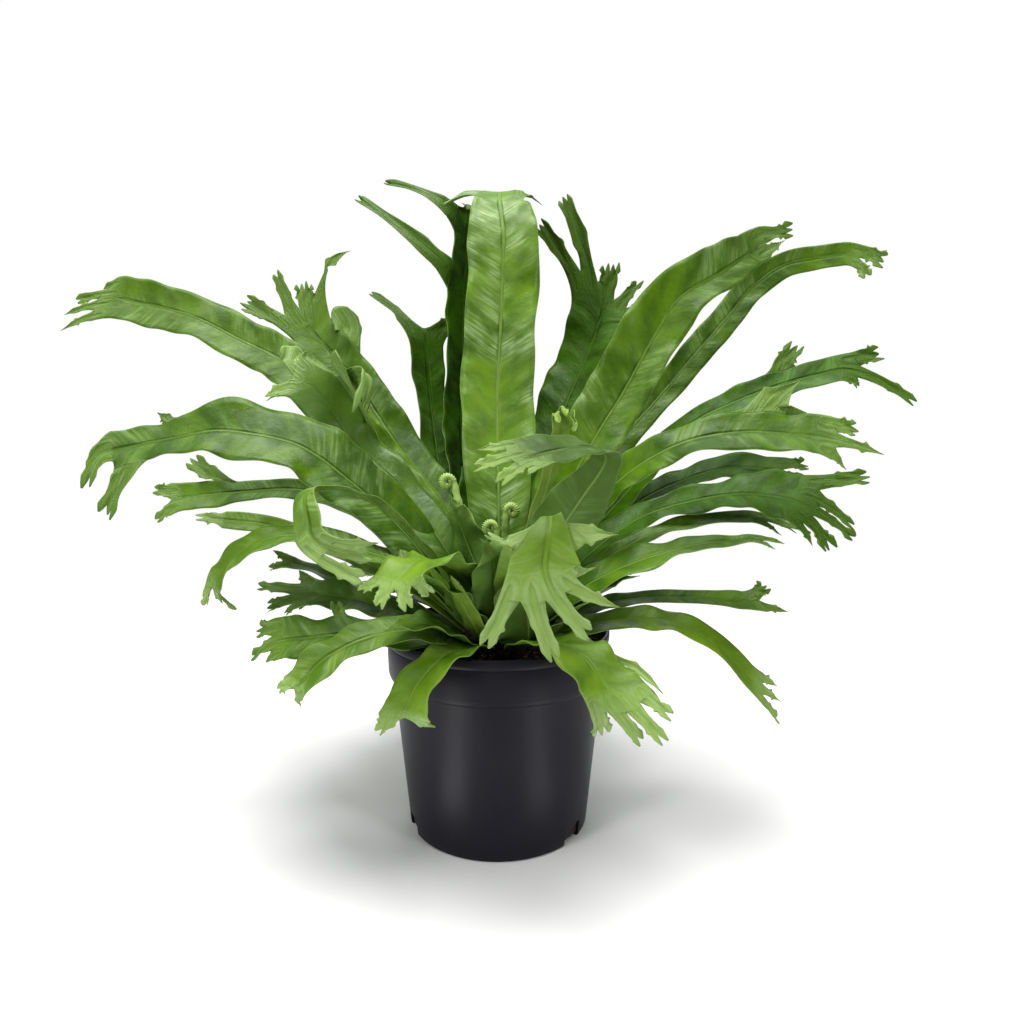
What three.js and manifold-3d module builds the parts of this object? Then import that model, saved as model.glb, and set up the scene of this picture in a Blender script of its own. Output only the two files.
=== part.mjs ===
// Potted crested bird's nest fern: a rosette of strap fronds with forked, waved tips, standing
// on a short crown in a round nursery pot. Millimetres, +Z up. The origin is the centre of the
// pot's foot, and the side of the pot at -Y is the front.

import * as THREE from "three";
import { mergeVertices } from "three/addons/utils/BufferGeometryUtils.js";
import Module from "manifold-3d";

// Pot
const POT_HEIGHT = 133.5;
const RIM_RADIUS = 75.4;
const FOOT_RADIUS = 61;
const BAND_HEIGHT = 104;
const WALL_RADIUS_AT_BAND = 71;
const WALL = 1.7;
const FLOOR = 2;
const POT_SIDES = 40;
const NOTCH_ANGLES = [-67.5, 52.5, 172.5];
const NOTCH_WIDTH = 16;
const NOTCH_HEIGHT = 11.5;
const NOTCH_DEPTH = 15;

// Soil and crown
const SEAT_GAP = 0.3;
const SOIL_LEVEL = 121;
const SOIL_DISH = 2.5;
const SOIL_BUMP = 0.9;
const CROWN_CENTRE = new THREE.Vector3(0, 0, 112);
const CROWN_RADIUS = 28;
const CROWN_SEAT = 118;

// Fronds
const RIBS = 14;
const SPINE_STEPS = 84;
const STALK_WIDTH = 4.4;
const STALK_HALF_THICKNESS = 1.5;
const BLADE_HALF_THICKNESS = 0.5;
const WAVES = 4;
const WAVE_HEIGHT = 0.1;
const FOLD = 0.16;
const TOOTH_WIDTH = 4.6;
const WEB = 0.5;
const ROOM = 0.85;
const UP = new THREE.Vector3(0, 0, 1);

const GREENS = { deep: 0x35641f, mid: 0x4c8427, fresh: 0x6b9f35, young: 0x93b95a };

// Each frond: the blade's width, the share of it that is left at the crest, the roll of the
// blade at its base and its fork in degrees, the route of the midrib from the crown out to where
// the crest forks, and the fingers of the crest as the end of each with its number of teeth.
// A side finger has its rib, margin (1 left, -1 right), end, teeth and the ribs that its root
// spans. A fold other than the usual one, and the shares of the length between which the width
// changes to that of the crest, are given where they differ.
const FRONDS = [
  {
    name: "frond_left_arch", green: "mid", width: 36, palm: 1, roll: [-35, -50],
    route: [[-42, 19, 196], [-82, 39, 241], [-120, 48, 283], [-158, 60, 316], [-192, 64, 333],
      [-229, 66, 351], [-272, 57, 361]],
    fingers: [[-311, 40, 336, 1], [-314, 46, 347, 1], [-308, 52, 358, 2], [-291, 62, 368, 2]],
  },
  {
    name: "frond_left_fan", green: "mid", width: 34, palm: 1.1, roll: [-10, -40],
    route: [[-26, 27, 193], [-55, 48, 227], [-87, 72, 268], [-117, 92, 311], [-137, 104, 333]],
    fingers: [[-202, 94, 361, 2], [-201, 98, 376, 3], [-177, 104, 392, 2], [-157, 110, 385, 4],
      [-116, 116, 410, 1], [-126, 102, 359, 1]],
  },
  {
    name: "frond_left_curl", green: "fresh", width: 21, palm: 1.2, roll: [-30, -80],
    route: [[-35, 6, 184], [-69, 24, 226], [-105, 32, 260], [-133, 37, 285], [-150, 38, 305],
      [-151, 30, 314], [-139, 22, 317], [-123, 18, 316], [-107, 14, 309]],
    fingers: [[-82, 8, 281, 1], [-99, 8, 275, 2]],
    side: [[9, 1, -170, 38, 297, 1], [7, 1, -163, 34, 280, 1]],
  },
  {
    name: "frond_left_broad", green: "mid", width: 48, palm: 0.56, roll: [-35, -50],
    neck: [0.72, 0.9],
    route: [[-65, -4, 201], [-97, -8, 233], [-128, -11, 256], [-158, -15, 264], [-181, -18, 266],
      [-201, -22, 262], [-221, -26, 258], [-239, -30, 254]],
    fingers: [[-251, -43, 229, 2]],
    side: [[13, 1, -239, -46, 212, 3], [11, -1, -223, -12, 280, 1]],
  },
  {
    name: "frond_left_fork", green: "mid", width: 24, palm: 1.2, roll: [-30, -50],
    route: [[-51, 11, 183], [-94, 24, 209], [-139, 28, 224], [-182, 25, 224], [-203, 20, 221]],
    fingers: [[-239, 16, 226, 3], [-235, 8, 204, 2]],
    side: [[13, -1, -219, 30, 247, 2]],
  },
  {
    name: "frond_left_slim", green: "fresh", width: 15, palm: 1, roll: [-30, -40],
    route: [[-53, 7, 156], [-95, 14, 176], [-128, 14, 192], [-161, 9, 202], [-185, 3, 206]],
    fingers: [[-205, 0, 209, 2]],
  },
  {
    name: "frond_left_hook", green: "fresh", width: 20, palm: 1.6, roll: [-35, -30],
    route: [[-47, -18, 173], [-86, -30, 191], [-115, -36, 201], [-141, -40, 200],
      [-163, -44, 187], [-171, -45, 176]],
    fingers: [[-180, -45, 157, 2], [-167, -49, 160, 1], [-158, -51, 158, 2]],
  },
  {
    name: "frond_front_left_curl", green: "fresh", width: 22, palm: 1.3, roll: [-10, 20],
    route: [[-48, -33, 195], [-79, -62, 229], [-103, -86, 232], [-98, -102, 214]],
    fingers: [[-62, -104, 200, 2], [-56, -114, 209, 1], [-63, -112, 188, 2]],
  },
  {
    name: "frond_front_left_low", green: "fresh", width: 26, palm: 1.3, roll: [-15, 0],
    route: [[-14, -40, 168], [-29, -68, 189], [-41, -94, 195], [-49, -108, 189]],
    fingers: [[-71, -110, 182, 2], [-60, -118, 174, 2], [-43, -122, 175, 2],
      [-31, -118, 182, 2]],
  },
  {
    name: "frond_left_low_back", green: "mid", width: 27, palm: 1.2, roll: [-25, -30],
    route: [[-46, -13, 139], [-75, -17, 151], [-100, -19, 158], [-118, -20, 160]],
    fingers: [[-134, -8, 176, 1], [-160, -20, 166, 2], [-150, -30, 153, 3],
      [-136, -34, 150, 2]],
  },
  {
    name: "frond_left_thin", green: "mid", width: 13, palm: 1.1, roll: [-10, -10],
    route: [[-47, 10, 138], [-90, 14, 150], [-123, 13, 168], [-142, 10, 175]],
    fingers: [[-157, 12, 185, 1], [-158, 6, 172, 2]],
  },
  {
    name: "frond_left_low", green: "mid", width: 27, palm: 1.25, roll: [-30, -30],
    route: [[-41, -30, 134], [-65, -47, 141], [-94, -54, 143], [-124, -58, 141]],
    fingers: [[-150, -46, 143, 3], [-152, -54, 127, 2], [-140, -58, 127, 1]],
    side: [[10, -1, -101, -40, 162, 2]],
  },
  {
    name: "frond_left_low_front", green: "fresh", width: 24, palm: 1.15, roll: [-35, -30],
    route: [[-31, -41, 138], [-53, -59, 147], [-76, -72, 146], [-98, -80, 136],
      [-110, -84, 124]],
    fingers: [[-126, -82, 118, 2], [-110, -92, 113, 2]],
  },
  {
    name: "frond_front_left_drape", green: "fresh", width: 27, palm: 1.3, roll: [-5, 0],
    route: [[-16, -52, 135], [-32, -77, 135], [-44, -90, 124], [-48, -95, 114]],
    fingers: [[-66, -98, 99, 2], [-33, -101, 104, 2]],
  },
  {
    name: "frond_front_star", green: "fresh", width: 28, palm: 1.75, roll: [0, 0],
    route: [[5, -44, 160], [14, -84, 205], [20, -114, 226], [25, -133, 223], [27, -143, 207]],
    fingers: [[0, -150, 163, 3], [34, -156, 158, 2], [52, -159, 171, 3], [62, -155, 184, 3]],
    side: [[12, 1, 68, -140, 217, 2], [12, -1, -10, -124, 220, 1]],
  },
  {
    name: "frond_front_right_broad", green: "fresh", width: 36, palm: 1.15, roll: [5, 0],
    route: [[21, -47, 135], [38, -75, 144], [50, -95, 141], [59, -106, 130]],
    fingers: [[58, -110, 103, 3], [80, -118, 101, 2], [91, -120, 103, 2], [96, -116, 115, 2]],
    side: [[12, 1, 91, -112, 126, 1]],
  },
  {
    name: "frond_right_low_arch", green: "fresh", width: 22, palm: 1.1, roll: [30, 30],
    route: [[41, -22, 135], [82, -30, 146], [111, -34, 145], [136, -38, 134], [158, -40, 112]],
    fingers: [[178, -42, 106, 1], [180, -42, 96, 1], [179, -44, 83, 2]],
  },
  {
    name: "frond_right_low_thin", green: "mid", width: 15, palm: 1.2, roll: [20, 30],
    route: [[44, 3, 137], [85, 13, 148], [134, 15, 150], [171, 13, 148]],
    fingers: [[188, 14, 160, 3], [204, 8, 141, 1]],
  },
  {
    name: "frond_right_mid_low", green: "mid", width: 30, palm: 0.4, roll: [40, 40],
    neck: [0.5, 0.95],
    route: [[50, -38, 166], [82, -46, 185], [118, -50, 197], [150, -51, 201]],
    fingers: [[176, -52, 198, 1], [167, -55, 196, 1]],
  },
  {
    name: "frond_right_low_mid", green: "mid", width: 15, palm: 1, roll: [40, 40],
    route: [[44, -19, 165], [70, -19, 183], [99, -17, 199], [132, -15, 208], [161, -15, 210]],
    fingers: [[198, -15, 200, 2], [185, -19, 198, 1]],
  },
  {
    name: "frond_right_crest_low", green: "mid", width: 27, palm: 1.5, roll: [30, 30],
    route: [[51, -3, 174], [95, 3, 207], [132, -9, 221], [160, -21, 226], [180, -29, 224]],
    fingers: [[235, -30, 238, 3], [219, -46, 207, 2], [219, -50, 199, 2], [202, -52, 194, 3],
      [191, -54, 195, 1]],
  },
  {
    name: "frond_right_curl", green: "deep", width: 24, palm: 1.1, roll: [10, 10],
    route: [[54, 31, 171], [100, 37, 214], [136, 36, 232], [162, 30, 240], [183, 18, 240]],
    fingers: [[213, 12, 243, 3], [209, 6, 234, 2]],
  },
  {
    name: "frond_right_mid", green: "mid", width: 27, palm: 1.1, roll: [30, 45],
    route: [[47, -10, 192], [78, -25, 235], [112, -38, 258], [146, -45, 265],
      [186, -50, 263]],
    fingers: [[218, -48, 266, 3], [230, -54, 252, 1], [206, -58, 243, 1]],
    side: [[12, 1, 191, -30, 299, 1, 2]],
  },
  {
    name: "frond_front_cross", green: "fresh", width: 27, palm: 1.2, roll: [-10, -60],
    route: [[23, -50, 183], [46, -86, 229], [60, -112, 249], [50, -133, 256],
      [26, -146, 256]],
    fingers: [[-7, -150, 260, 2], [-9, -156, 248, 3], [12, -156, 243, 2]],
  },
  {
    name: "frond_right_big", green: "mid", width: 50, palm: 0.52, roll: [35, 55], fold: 0.3,
    neck: [0.7, 0.94],
    route: [[42, 22, 214], [72, 34, 267], [87, 40, 290], [111, 45, 333], [129, 46, 360],
      [158, 46, 378], [176, 45, 390]],
    fingers: [[207, 40, 406, 3], [199, 38, 398, 1]],
  },
  {
    name: "frond_right_big_back", green: "mid", width: 23, palm: 0.75, roll: [30, 50],
    route: [[48, 32, 196], [84, 58, 251], [118, 72, 288], [148, 78, 323], [174, 80, 353],
      [191, 80, 374], [212, 76, 389], [234, 70, 393], [252, 66, 395]],
    fingers: [[281, 56, 386, 3], [266, 52, 374, 2]],
  },
  {
    name: "frond_right_up_mid", green: "mid", width: 22, palm: 1.1, roll: [20, 30],
    route: [[54, 19, 182], [89, 26, 221], [134, 27, 270], [164, 22, 286], [199, 17, 299],
      [225, 12, 306]],
    fingers: [[257, 6, 318, 3], [275, -4, 283, 2], [239, 0, 294, 2]],
    side: [[12, 1, 210, 32, 328, 3]],
  },
  {
    name: "frond_back_right_fork", green: "deep", width: 46, palm: 1.1, roll: [0, 0],
    route: [[14, 32, 174], [31, 62, 229], [52, 92, 287], [72, 108, 332], [80, 111, 353]],
    fingers: [[28, 114, 433, 3], [49, 124, 456, 3], [89, 116, 402, 4], [113, 110, 387, 2],
      [115, 104, 371, 1]],
  },
  {
    name: "frond_centre", green: "fresh", width: 52, palm: 0.95, roll: [0, 0],
    route: [[0, 24, 217], [-1, 46, 292], [2, 58, 361], [3, 68, 411], [0, 86, 438], [0, 104, 450]],
    fingers: [[-15, 128, 452, 3], [11, 128, 452, 3]],
    side: [[13, 1, -47, 86, 433, 2], [13, -1, 35, 106, 440, 1]],
  },
  {
    name: "frond_centre_left", green: "deep", width: 34, palm: 0.8, roll: [10, 20],
    route: [[-18, 36, 180], [-29, 70, 259], [-29, 88, 336], [-27, 100, 399], [-25, 113, 437]],
    fingers: [[-30, 118, 447, 2]],
    side: [[11, 1, -113, 94, 446, 2], [13, 1, -94, 114, 462, 2]],
  },
  {
    name: "frond_back_left_fork", green: "deep", width: 26, palm: 1.1, roll: [0, 0],
    route: [[-35, 50, 174], [-49, 88, 244], [-57, 110, 295], [-62, 118, 328]],
    fingers: [[-110, 128, 379, 2], [-53, 126, 351, 2]],
  },
  {
    name: "frond_young_pale", green: "young", width: 13, palm: 1, roll: [0, 0],
    route: [[14, -18, 177], [29, -28, 223], [38, -33, 260]],
    fingers: [[42, -35, 276, 2]],
  },
];

// Fronds at the back, hidden from the front: azimuth from +X and rise in degrees, reach, width.
const BACK_FRONDS = [
  [56, 22, 150, 24], [70, 36, 175, 27], [82, 22, 160, 25], [95, 33, 185, 28],
  [109, 25, 165, 24], [125, 18, 160, 25], [141, 24, 150, 22], [157, 19, 135, 20],
];
const BACK_SAG = 0.72;
const BACK_FINGER_TURNS = [52, 18, -16, -48];
const BACK_FINGER_LENGTH = 34;

// Croziers, the coiled young fronds: the foot of the coil, its radius, and the stem's radius.
const CROZIERS = [
  { name: "crozier_left", top: [-33, 12, 229], coil: 5.5, stem: 2 },
  { name: "crozier_front", top: [-3, -15, 198], coil: 4.6, stem: 1.8 },
  { name: "crozier_middle", top: [10, -6, 211], coil: 5, stem: 1.9 },
];
const CROZIER_TURNS = 1.15;
const CROZIER_SIDES = 7;

// Pieces of geometry

function vector(values) {
  return new THREE.Vector3(values[0], values[1], values[2]);
}

function degrees(angle) {
  return THREE.MathUtils.degToRad(angle);
}

function ease(low, high, value) {
  return THREE.MathUtils.smoothstep(value, low, high);
}

// A repeatable draw between -1 and 1 for a whole number.
function draw(number) {
  const value = Math.sin(number * 127.1 + 11.7) * 43758.5453;
  return 2 * (value - Math.floor(value)) - 1;
}

function solidMesh(name, geometry, color, roughness) {
  const material = new THREE.MeshStandardMaterial({ color, roughness, metalness: 0 });
  const mesh = new THREE.Mesh(geometry, material);
  mesh.name = name;
  return mesh;
}

// Spine of a blade: points along the route with the blade's left side and upper face there.
function traceSpine(route, roll) {
  const curve = new THREE.CatmullRomCurve3(route, false, "centripetal");
  const points = curve.getSpacedPoints(SPINE_STEPS);
  const stations = [];
  let side = null;
  points.forEach((point, index) => {
    const before = points[Math.max(index - 1, 0)];
    const after = points[Math.min(index + 1, SPINE_STEPS)];
    const heading = after.clone().sub(before).normalize();
    side = side ?? UP.clone().cross(heading);
    side.addScaledVector(heading, -side.dot(heading)).normalize();
    const turn = degrees(THREE.MathUtils.lerp(roll[0], roll[1], index / SPINE_STEPS));
    const left = side.clone().applyAxisAngle(heading, turn);
    const face = heading.clone().cross(left);
    stations.push({ point, heading, left, face });
  });
  return stations;
}

function stationAt(spine, share) {
  return spine[Math.round(share * (spine.length - 1))];
}

// Middle surface of a leaf: points with half a thickness each, and triangles between rows of
// points that run from the left margin to the right one.
function newSheet() {
  return { points: [], halves: [], triangles: [] };
}

function addPoint(sheet, point, half) {
  sheet.points.push(point);
  sheet.halves.push(half);
  return sheet.points.length - 1;
}

function stitch(sheet, near, far) {
  let i = 0;
  let j = 0;
  while (i < near.length - 1 || j < far.length - 1) {
    const nearShare = (i + 1) / (near.length - 1);
    const farShare = (j + 1) / (far.length - 1);
    const nearNext = j === far.length - 1 || (i < near.length - 1 && nearShare <= farShare);
    if (nearNext) {
      sheet.triangles.push([near[i], near[i + 1], far[j]]);
      i += 1;
    } else {
      sheet.triangles.push([near[i], far[j + 1], far[j]]);
      j += 1;
    }
  }
}

// Both faces and the edge of the leaf, split into the same triangles on either face.
function thicken(sheet) {
  const normals = sheet.points.map(() => new THREE.Vector3());
  for (const [a, b, c] of sheet.triangles) {
    const edge = sheet.points[b].clone().sub(sheet.points[a]);
    const normal = edge.cross(sheet.points[c].clone().sub(sheet.points[a]));
    [a, b, c].forEach((corner) => normals[corner].add(normal));
  }
  const positions = [];
  for (const direction of [1, -1]) {
    sheet.points.forEach((point, index) => {
      const shift = normals[index].clone().normalize();
      shift.multiplyScalar(direction * sheet.halves[index]);
      positions.push(...point.clone().add(shift).toArray());
    });
  }
  const under = sheet.points.length;
  const edges = new Map();
  const faces = [];
  for (const [a, b, c] of sheet.triangles) {
    faces.push(a, b, c, under + a, under + c, under + b);
    [[a, b], [b, c], [c, a]].forEach(([from, to]) => edges.set(`${from},${to}`, [from, to]));
  }
  for (const [from, to] of edges.values()) {
    if (!edges.has(`${to},${from}`)) {
      faces.push(from, under + from, under + to, from, under + to, to);
    }
  }
  const geometry = new THREE.BufferGeometry();
  geometry.setAttribute("position", new THREE.Float32BufferAttribute(positions, 3));
  geometry.setIndex(faces);
  geometry.computeVertexNormals();
  return geometry;
}

// Width of the strap: a narrow stalk, widest past the middle, and wide again at the crest.
function strapWidth(frond, share) {
  const blade = ease(0.0, 0.55, share) ** 0.8;
  const neck = frond.neck ?? [0.75, 1];
  const palm = 1 + (frond.palm - 1) * ease(neck[0], neck[1], share);
  return (STALK_WIDTH + (frond.width - STALK_WIDTH) * blade) * palm;
}

function halfThickness(share, across) {
  const stalk = 1 - ease(0, 0.4, share);
  const swelling = (STALK_HALF_THICKNESS - BLADE_HALF_THICKNESS) * stalk;
  return BLADE_HALF_THICKNESS + swelling * (1 - 0.4 * Math.abs(across));
}

// One row across the strap, folded up along the midrib and waved at its margins.
function strapRow(sheet, frond, spine, share, count) {
  const station = stationAt(spine, share);
  const width = strapWidth(frond, share);
  const fold = frond.fold ?? FOLD;
  const row = [];
  for (let k = 0; k < count; k += 1) {
    const across = 1 - (2 * k) / (count - 1);
    const phase = frond.seed + (across > 0 ? 0 : 2.1);
    const wave = Math.sin(2 * Math.PI * WAVES * share + phase) * WAVE_HEIGHT * across ** 2;
    const lift = (fold * Math.abs(across) + wave * ease(0.15, 0.5, share)) * (width / 2);
    const point = station.point.clone().addScaledVector(station.left, (across * width) / 2);
    point.addScaledVector(station.face, lift);
    row.push(addPoint(sheet, point, halfThickness(share, across)));
  }
  return row;
}

// Midline of a finger: it leaves a row of points along a heading and bends to its end.
function fingerCurve(sheet, root, heading, finger) {
  const start = sheet.points[root[0]].clone().lerp(sheet.points[root.at(-1)], 0.5);
  const end = vector(finger);
  const knee = start.clone().addScaledVector(heading, start.distanceTo(end) * 0.35);
  return new THREE.QuadraticBezierCurve3(start, knee, end);
}

// Width that a finger can have at a share of its length without reaching its neighbours.
function roomAt(curve, neighbours, share) {
  const point = curve.getPoint(share);
  const gaps = neighbours.flatMap((other) => {
    return other.getPoints(10).map((beside) => beside.distanceTo(point));
  });
  return Math.min(...gaps) * ROOM;
}

// The fingers stay joined for part of their length: one more row across all of them, through
// the middle of each pair of neighbours.
function webRow(sheet, row, curves) {
  const centres = curves.map((curve) => curve.getPoint(WEB));
  const web = row.map((corner, index) => {
    const before = centres[Math.max(index - 1, 0)];
    const after = centres[Math.min(index, centres.length - 1)];
    return before.clone().lerp(after, 0.5);
  });
  for (const [end, next] of [[0, 1], [row.length - 1, row.length - 2]]) {
    const half = sheet.points[row[end]].clone().sub(sheet.points[row[next]]).multiplyScalar(0.5);
    web[end].add(half);
  }
  return web.map((point) => addPoint(sheet, point, BLADE_HALF_THICKNESS));
}

// One finger of the crest, grown along its midline from a row of points that is already there
// to its end, which is a point or a blunt end with teeth.
function growFinger(sheet, { root, curve, teeth, seed, taper }, neighbours) {
  const side = sheet.points[root[0]].clone().sub(sheet.points[root.at(-1)]);
  const rootWidth = side.length();
  const endRoom = roomAt(curve, neighbours, 1);
  const endWidth = Math.min(TOOTH_WIDTH * teeth, rootWidth * 1.3, endRoom);
  let last = root;
  for (const share of [0.42, 0.82]) {
    const along = curve.getTangent(share);
    side.addScaledVector(along, -side.dot(along)).normalize();
    const count = share > 0.5 ? teeth + 1 : 2;
    const wide = THREE.MathUtils.lerp(rootWidth * 0.95, endWidth, share ** taper);
    const width = Math.min(wide, roomAt(curve, neighbours, share));
    const row = [];
    for (let k = 0; k < count; k += 1) {
      const offset = width * (0.5 - k / (count - 1));
      const point = curve.getPoint(share).addScaledVector(side, offset);
      row.push(addPoint(sheet, point, BLADE_HALF_THICKNESS));
    }
    stitch(sheet, last, row);
    last = row;
  }
  const along = curve.getTangent(1);
  for (let k = 0; k < teeth; k += 1) {
    const across = teeth > 1 ? 1 - (2 * k) / (teeth - 1) : 0;
    const tip = curve.getPoint(1).addScaledVector(side, across * endWidth * 0.5);
    tip.addScaledVector(along, draw(seed + k) * 1.5);
    stitch(sheet, last.slice(k, k + 2), [addPoint(sheet, tip, BLADE_HALF_THICKNESS)]);
  }
}

// Roots and midlines of the fingers of the crest, beyond the web that joins them.
function growWeb(sheet, row, heading, fingers, seed) {
  if (fingers.length === 1) {
    const curve = fingerCurve(sheet, row, heading, fingers[0]);
    return [{ root: row, curve, teeth: fingers[0][3], seed, taper: 1.5 }];
  }
  const roots = fingers.map((finger, index) => {
    const last = index === fingers.length - 1 ? row.length : index + 2;
    return row.slice(index, last);
  });
  const curves = roots.map((root, index) => fingerCurve(sheet, root, heading, fingers[index]));
  const bounds = roots.map((root) => root[0]).concat(row.at(-1));
  const web = webRow(sheet, bounds, curves);
  stitch(sheet, row, web);
  return fingers.map((finger, index) => {
    const root = web.slice(index, index + 2);
    const curve = fingerCurve(sheet, root, curves[index].getTangent(WEB), finger);
    return { root, curve, teeth: finger[3], seed: seed + index * 7, taper: 1.5 };
  });
}

// Fingers in order from the left margin to the right one, as their ends lie round the fork.
function orderFingers(fingers, station) {
  const turn = (finger) => {
    const away = vector(finger).sub(station.point);
    return Math.atan2(away.dot(station.left), away.dot(station.heading));
  };
  return [...fingers].sort((one, other) => turn(other) - turn(one));
}

function frondRoute(frond) {
  const first = vector(frond.route[0]);
  const rise = first.clone().sub(CROWN_CENTRE).normalize();
  const foot = CROWN_CENTRE.clone().addScaledVector(rise, CROWN_RADIUS + SEAT_GAP);
  return [foot, ...frond.route.map(vector)];
}

function makeFrond(frond) {
  const sheet = newSheet();
  const spine = traceSpine(frondRoute(frond), frond.roll);
  const rows = [];
  for (let rib = 0; rib <= RIBS; rib += 1) {
    const count = rib < RIBS ? 3 : Math.max(frond.fingers.length + 1, 3);
    rows.push(strapRow(sheet, frond, spine, rib / RIBS, count));
    if (rib > 0) {
      stitch(sheet, rows[rib - 1], rows[rib]);
    }
  }
  const fork = stationAt(spine, 1);
  const fingers = orderFingers(frond.fingers, fork);
  const grown = growWeb(sheet, rows[RIBS], fork.heading, fingers, frond.seed);
  for (const [rib, margin, x, y, z, teeth, span = 1] of frond.side ?? []) {
    const ribs = rows.slice(rib, rib + span + 1);
    const root = ribs.map((row) => (margin > 0 ? row[0] : row.at(-1)));
    if (margin < 0) {
      root.reverse();
    }
    const away = stationAt(spine, rib / RIBS);
    const heading = away.heading.clone().addScaledVector(away.left, margin * 1.4).normalize();
    const curve = fingerCurve(sheet, root, heading, [x, y, z]);
    grown.push({ root, curve, teeth, seed: frond.seed + rib, taper: 0.5 });
  }
  const curves = grown.map((finger) => finger.curve);
  for (const finger of grown) {
    growFinger(sheet, finger, curves.filter((curve) => curve !== finger.curve));
  }
  return solidMesh(frond.name, thicken(sheet), GREENS[frond.green], 0.35);
}

// A frond at the back that rises, arches and sinks a little in its own upright plane.
function backFrond([azimuth, rise, reach, width], index) {
  const out = new THREE.Vector3(1, 0, 0).applyAxisAngle(UP, degrees(azimuth));
  const slope = Math.tan(degrees(rise + 22));
  const pointAt = (share) => {
    const height = reach * slope * (share - BACK_SAG * share ** 2);
    return CROWN_CENTRE.clone().addScaledVector(out, reach * share).addScaledVector(UP, height);
  };
  const end = pointAt(1);
  const heading = end.clone().sub(pointAt(0.95)).normalize();
  const fingers = BACK_FINGER_TURNS.map((turn, order) => {
    const aim = heading.clone().applyAxisAngle(UP, degrees(turn));
    const length = BACK_FINGER_LENGTH * (1 + 0.2 * draw(index * 5 + order));
    return [...end.clone().addScaledVector(aim, length).toArray(), 2 + (order % 2)];
  });
  return {
    name: `frond_back_${index + 1}`, green: index % 2 ? "mid" : "deep", width, palm: 1.3,
    roll: [0, 0], route: [0.35, 0.6, 0.8, 1].map((share) => pointAt(share).toArray()), fingers,
  };
}

// A closed round stem along a spine, thinner at its end.
function makeStem(spine, radiusAt) {
  const positions = [];
  const faces = [];
  const count = spine.length;
  spine.forEach((station, index) => {
    for (let k = 0; k < CROZIER_SIDES; k += 1) {
      const angle = (2 * Math.PI * k) / CROZIER_SIDES;
      const point = station.point.clone();
      point.addScaledVector(station.left, radiusAt(index / (count - 1)) * Math.cos(angle));
      point.addScaledVector(station.face, radiusAt(index / (count - 1)) * Math.sin(angle));
      positions.push(...point.toArray());
    }
  });
  const corner = (index, k) => index * CROZIER_SIDES + (k % CROZIER_SIDES);
  for (let index = 0; index < count - 1; index += 1) {
    for (let k = 0; k < CROZIER_SIDES; k += 1) {
      const [a, b] = [corner(index, k), corner(index, k + 1)];
      const [c, d] = [corner(index + 1, k), corner(index + 1, k + 1)];
      faces.push(a, b, c, b, d, c);
    }
  }
  for (let k = 1; k < CROZIER_SIDES - 1; k += 1) {
    faces.push(corner(0, 0), corner(0, k + 1), corner(0, k));
    faces.push(corner(count - 1, 0), corner(count - 1, k), corner(count - 1, k + 1));
  }
  const geometry = new THREE.BufferGeometry();
  geometry.setAttribute("position", new THREE.Float32BufferAttribute(positions, 3));
  geometry.setIndex(faces);
  geometry.computeVertexNormals();
  return geometry;
}

// A crozier stands on the crown and rolls up inwards at its top, towards the front.
function makeCrozier({ name, top, coil, stem }) {
  const route = frondRoute({ route: [top] });
  const crest = route[1];
  const rise = crest.clone().sub(route[0]).normalize();
  const inward = new THREE.Vector3(0, -1, 0).addScaledVector(rise, rise.y).normalize();
  const points = [0, 0.35, 0.7].map((share) => route[0].clone().lerp(crest, share));
  const steps = 16;
  for (let k = 0; k <= steps; k += 1) {
    const turn = (2 * Math.PI * CROZIER_TURNS * k) / steps;
    const radius = coil * (1 - (0.78 * k) / steps);
    const point = crest.clone().addScaledVector(inward, coil - radius * Math.cos(turn));
    points.push(point.addScaledVector(rise, radius * Math.sin(turn)));
  }
  const spine = points.map((point, index) => {
    const before = points[Math.max(index - 1, 0)];
    const after = points[Math.min(index + 1, points.length - 1)];
    const heading = after.clone().sub(before).normalize();
    const left = inward.clone().cross(rise).normalize();
    return { point, left, face: heading.cross(left) };
  });
  return solidMesh(name, makeStem(spine, (share) => stem * (1 - 0.62 * share)), GREENS.young, 0.5);
}

// Pot

function potProfile() {
  const lip = POT_HEIGHT - 6;
  const outside = [
    [0, 0], [FOOT_RADIUS - 1.8, 0], [FOOT_RADIUS, 1.6],
    [WALL_RADIUS_AT_BAND, BAND_HEIGHT - 1], [WALL_RADIUS_AT_BAND + 2.2, BAND_HEIGHT],
    [RIM_RADIUS - 1, BAND_HEIGHT + 4], [RIM_RADIUS - 0.6, lip - 0.8], [RIM_RADIUS - 1, lip],
    [RIM_RADIUS, lip + 0.8], [RIM_RADIUS, POT_HEIGHT - 1], [RIM_RADIUS - 0.6, POT_HEIGHT],
  ];
  const inside = [
    [RIM_RADIUS - 2.4, POT_HEIGHT], [RIM_RADIUS - 2.8, BAND_HEIGHT + 4],
    [WALL_RADIUS_AT_BAND - WALL, BAND_HEIGHT - 2], [FOOT_RADIUS - WALL + 0.2, FLOOR],
    [0, FLOOR],
  ];
  return [...outside, ...inside].map(([radius, height]) => new THREE.Vector2(radius, height));
}

function turned(profile, sides) {
  const geometry = new THREE.LatheGeometry(profile, sides);
  geometry.rotateX(Math.PI / 2);
  return geometry;
}

function toSolid(wasm, geometry) {
  const bare = geometry.clone();
  bare.deleteAttribute("normal");
  bare.deleteAttribute("uv");
  const merged = mergeVertices(bare, 1e-4);
  const position = merged.getAttribute("position");
  return new wasm.Manifold(new wasm.Mesh({
    numProp: 3,
    vertProperties: new Float32Array(position.array),
    triVerts: new Uint32Array(merged.getIndex().array),
  }));
}

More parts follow.
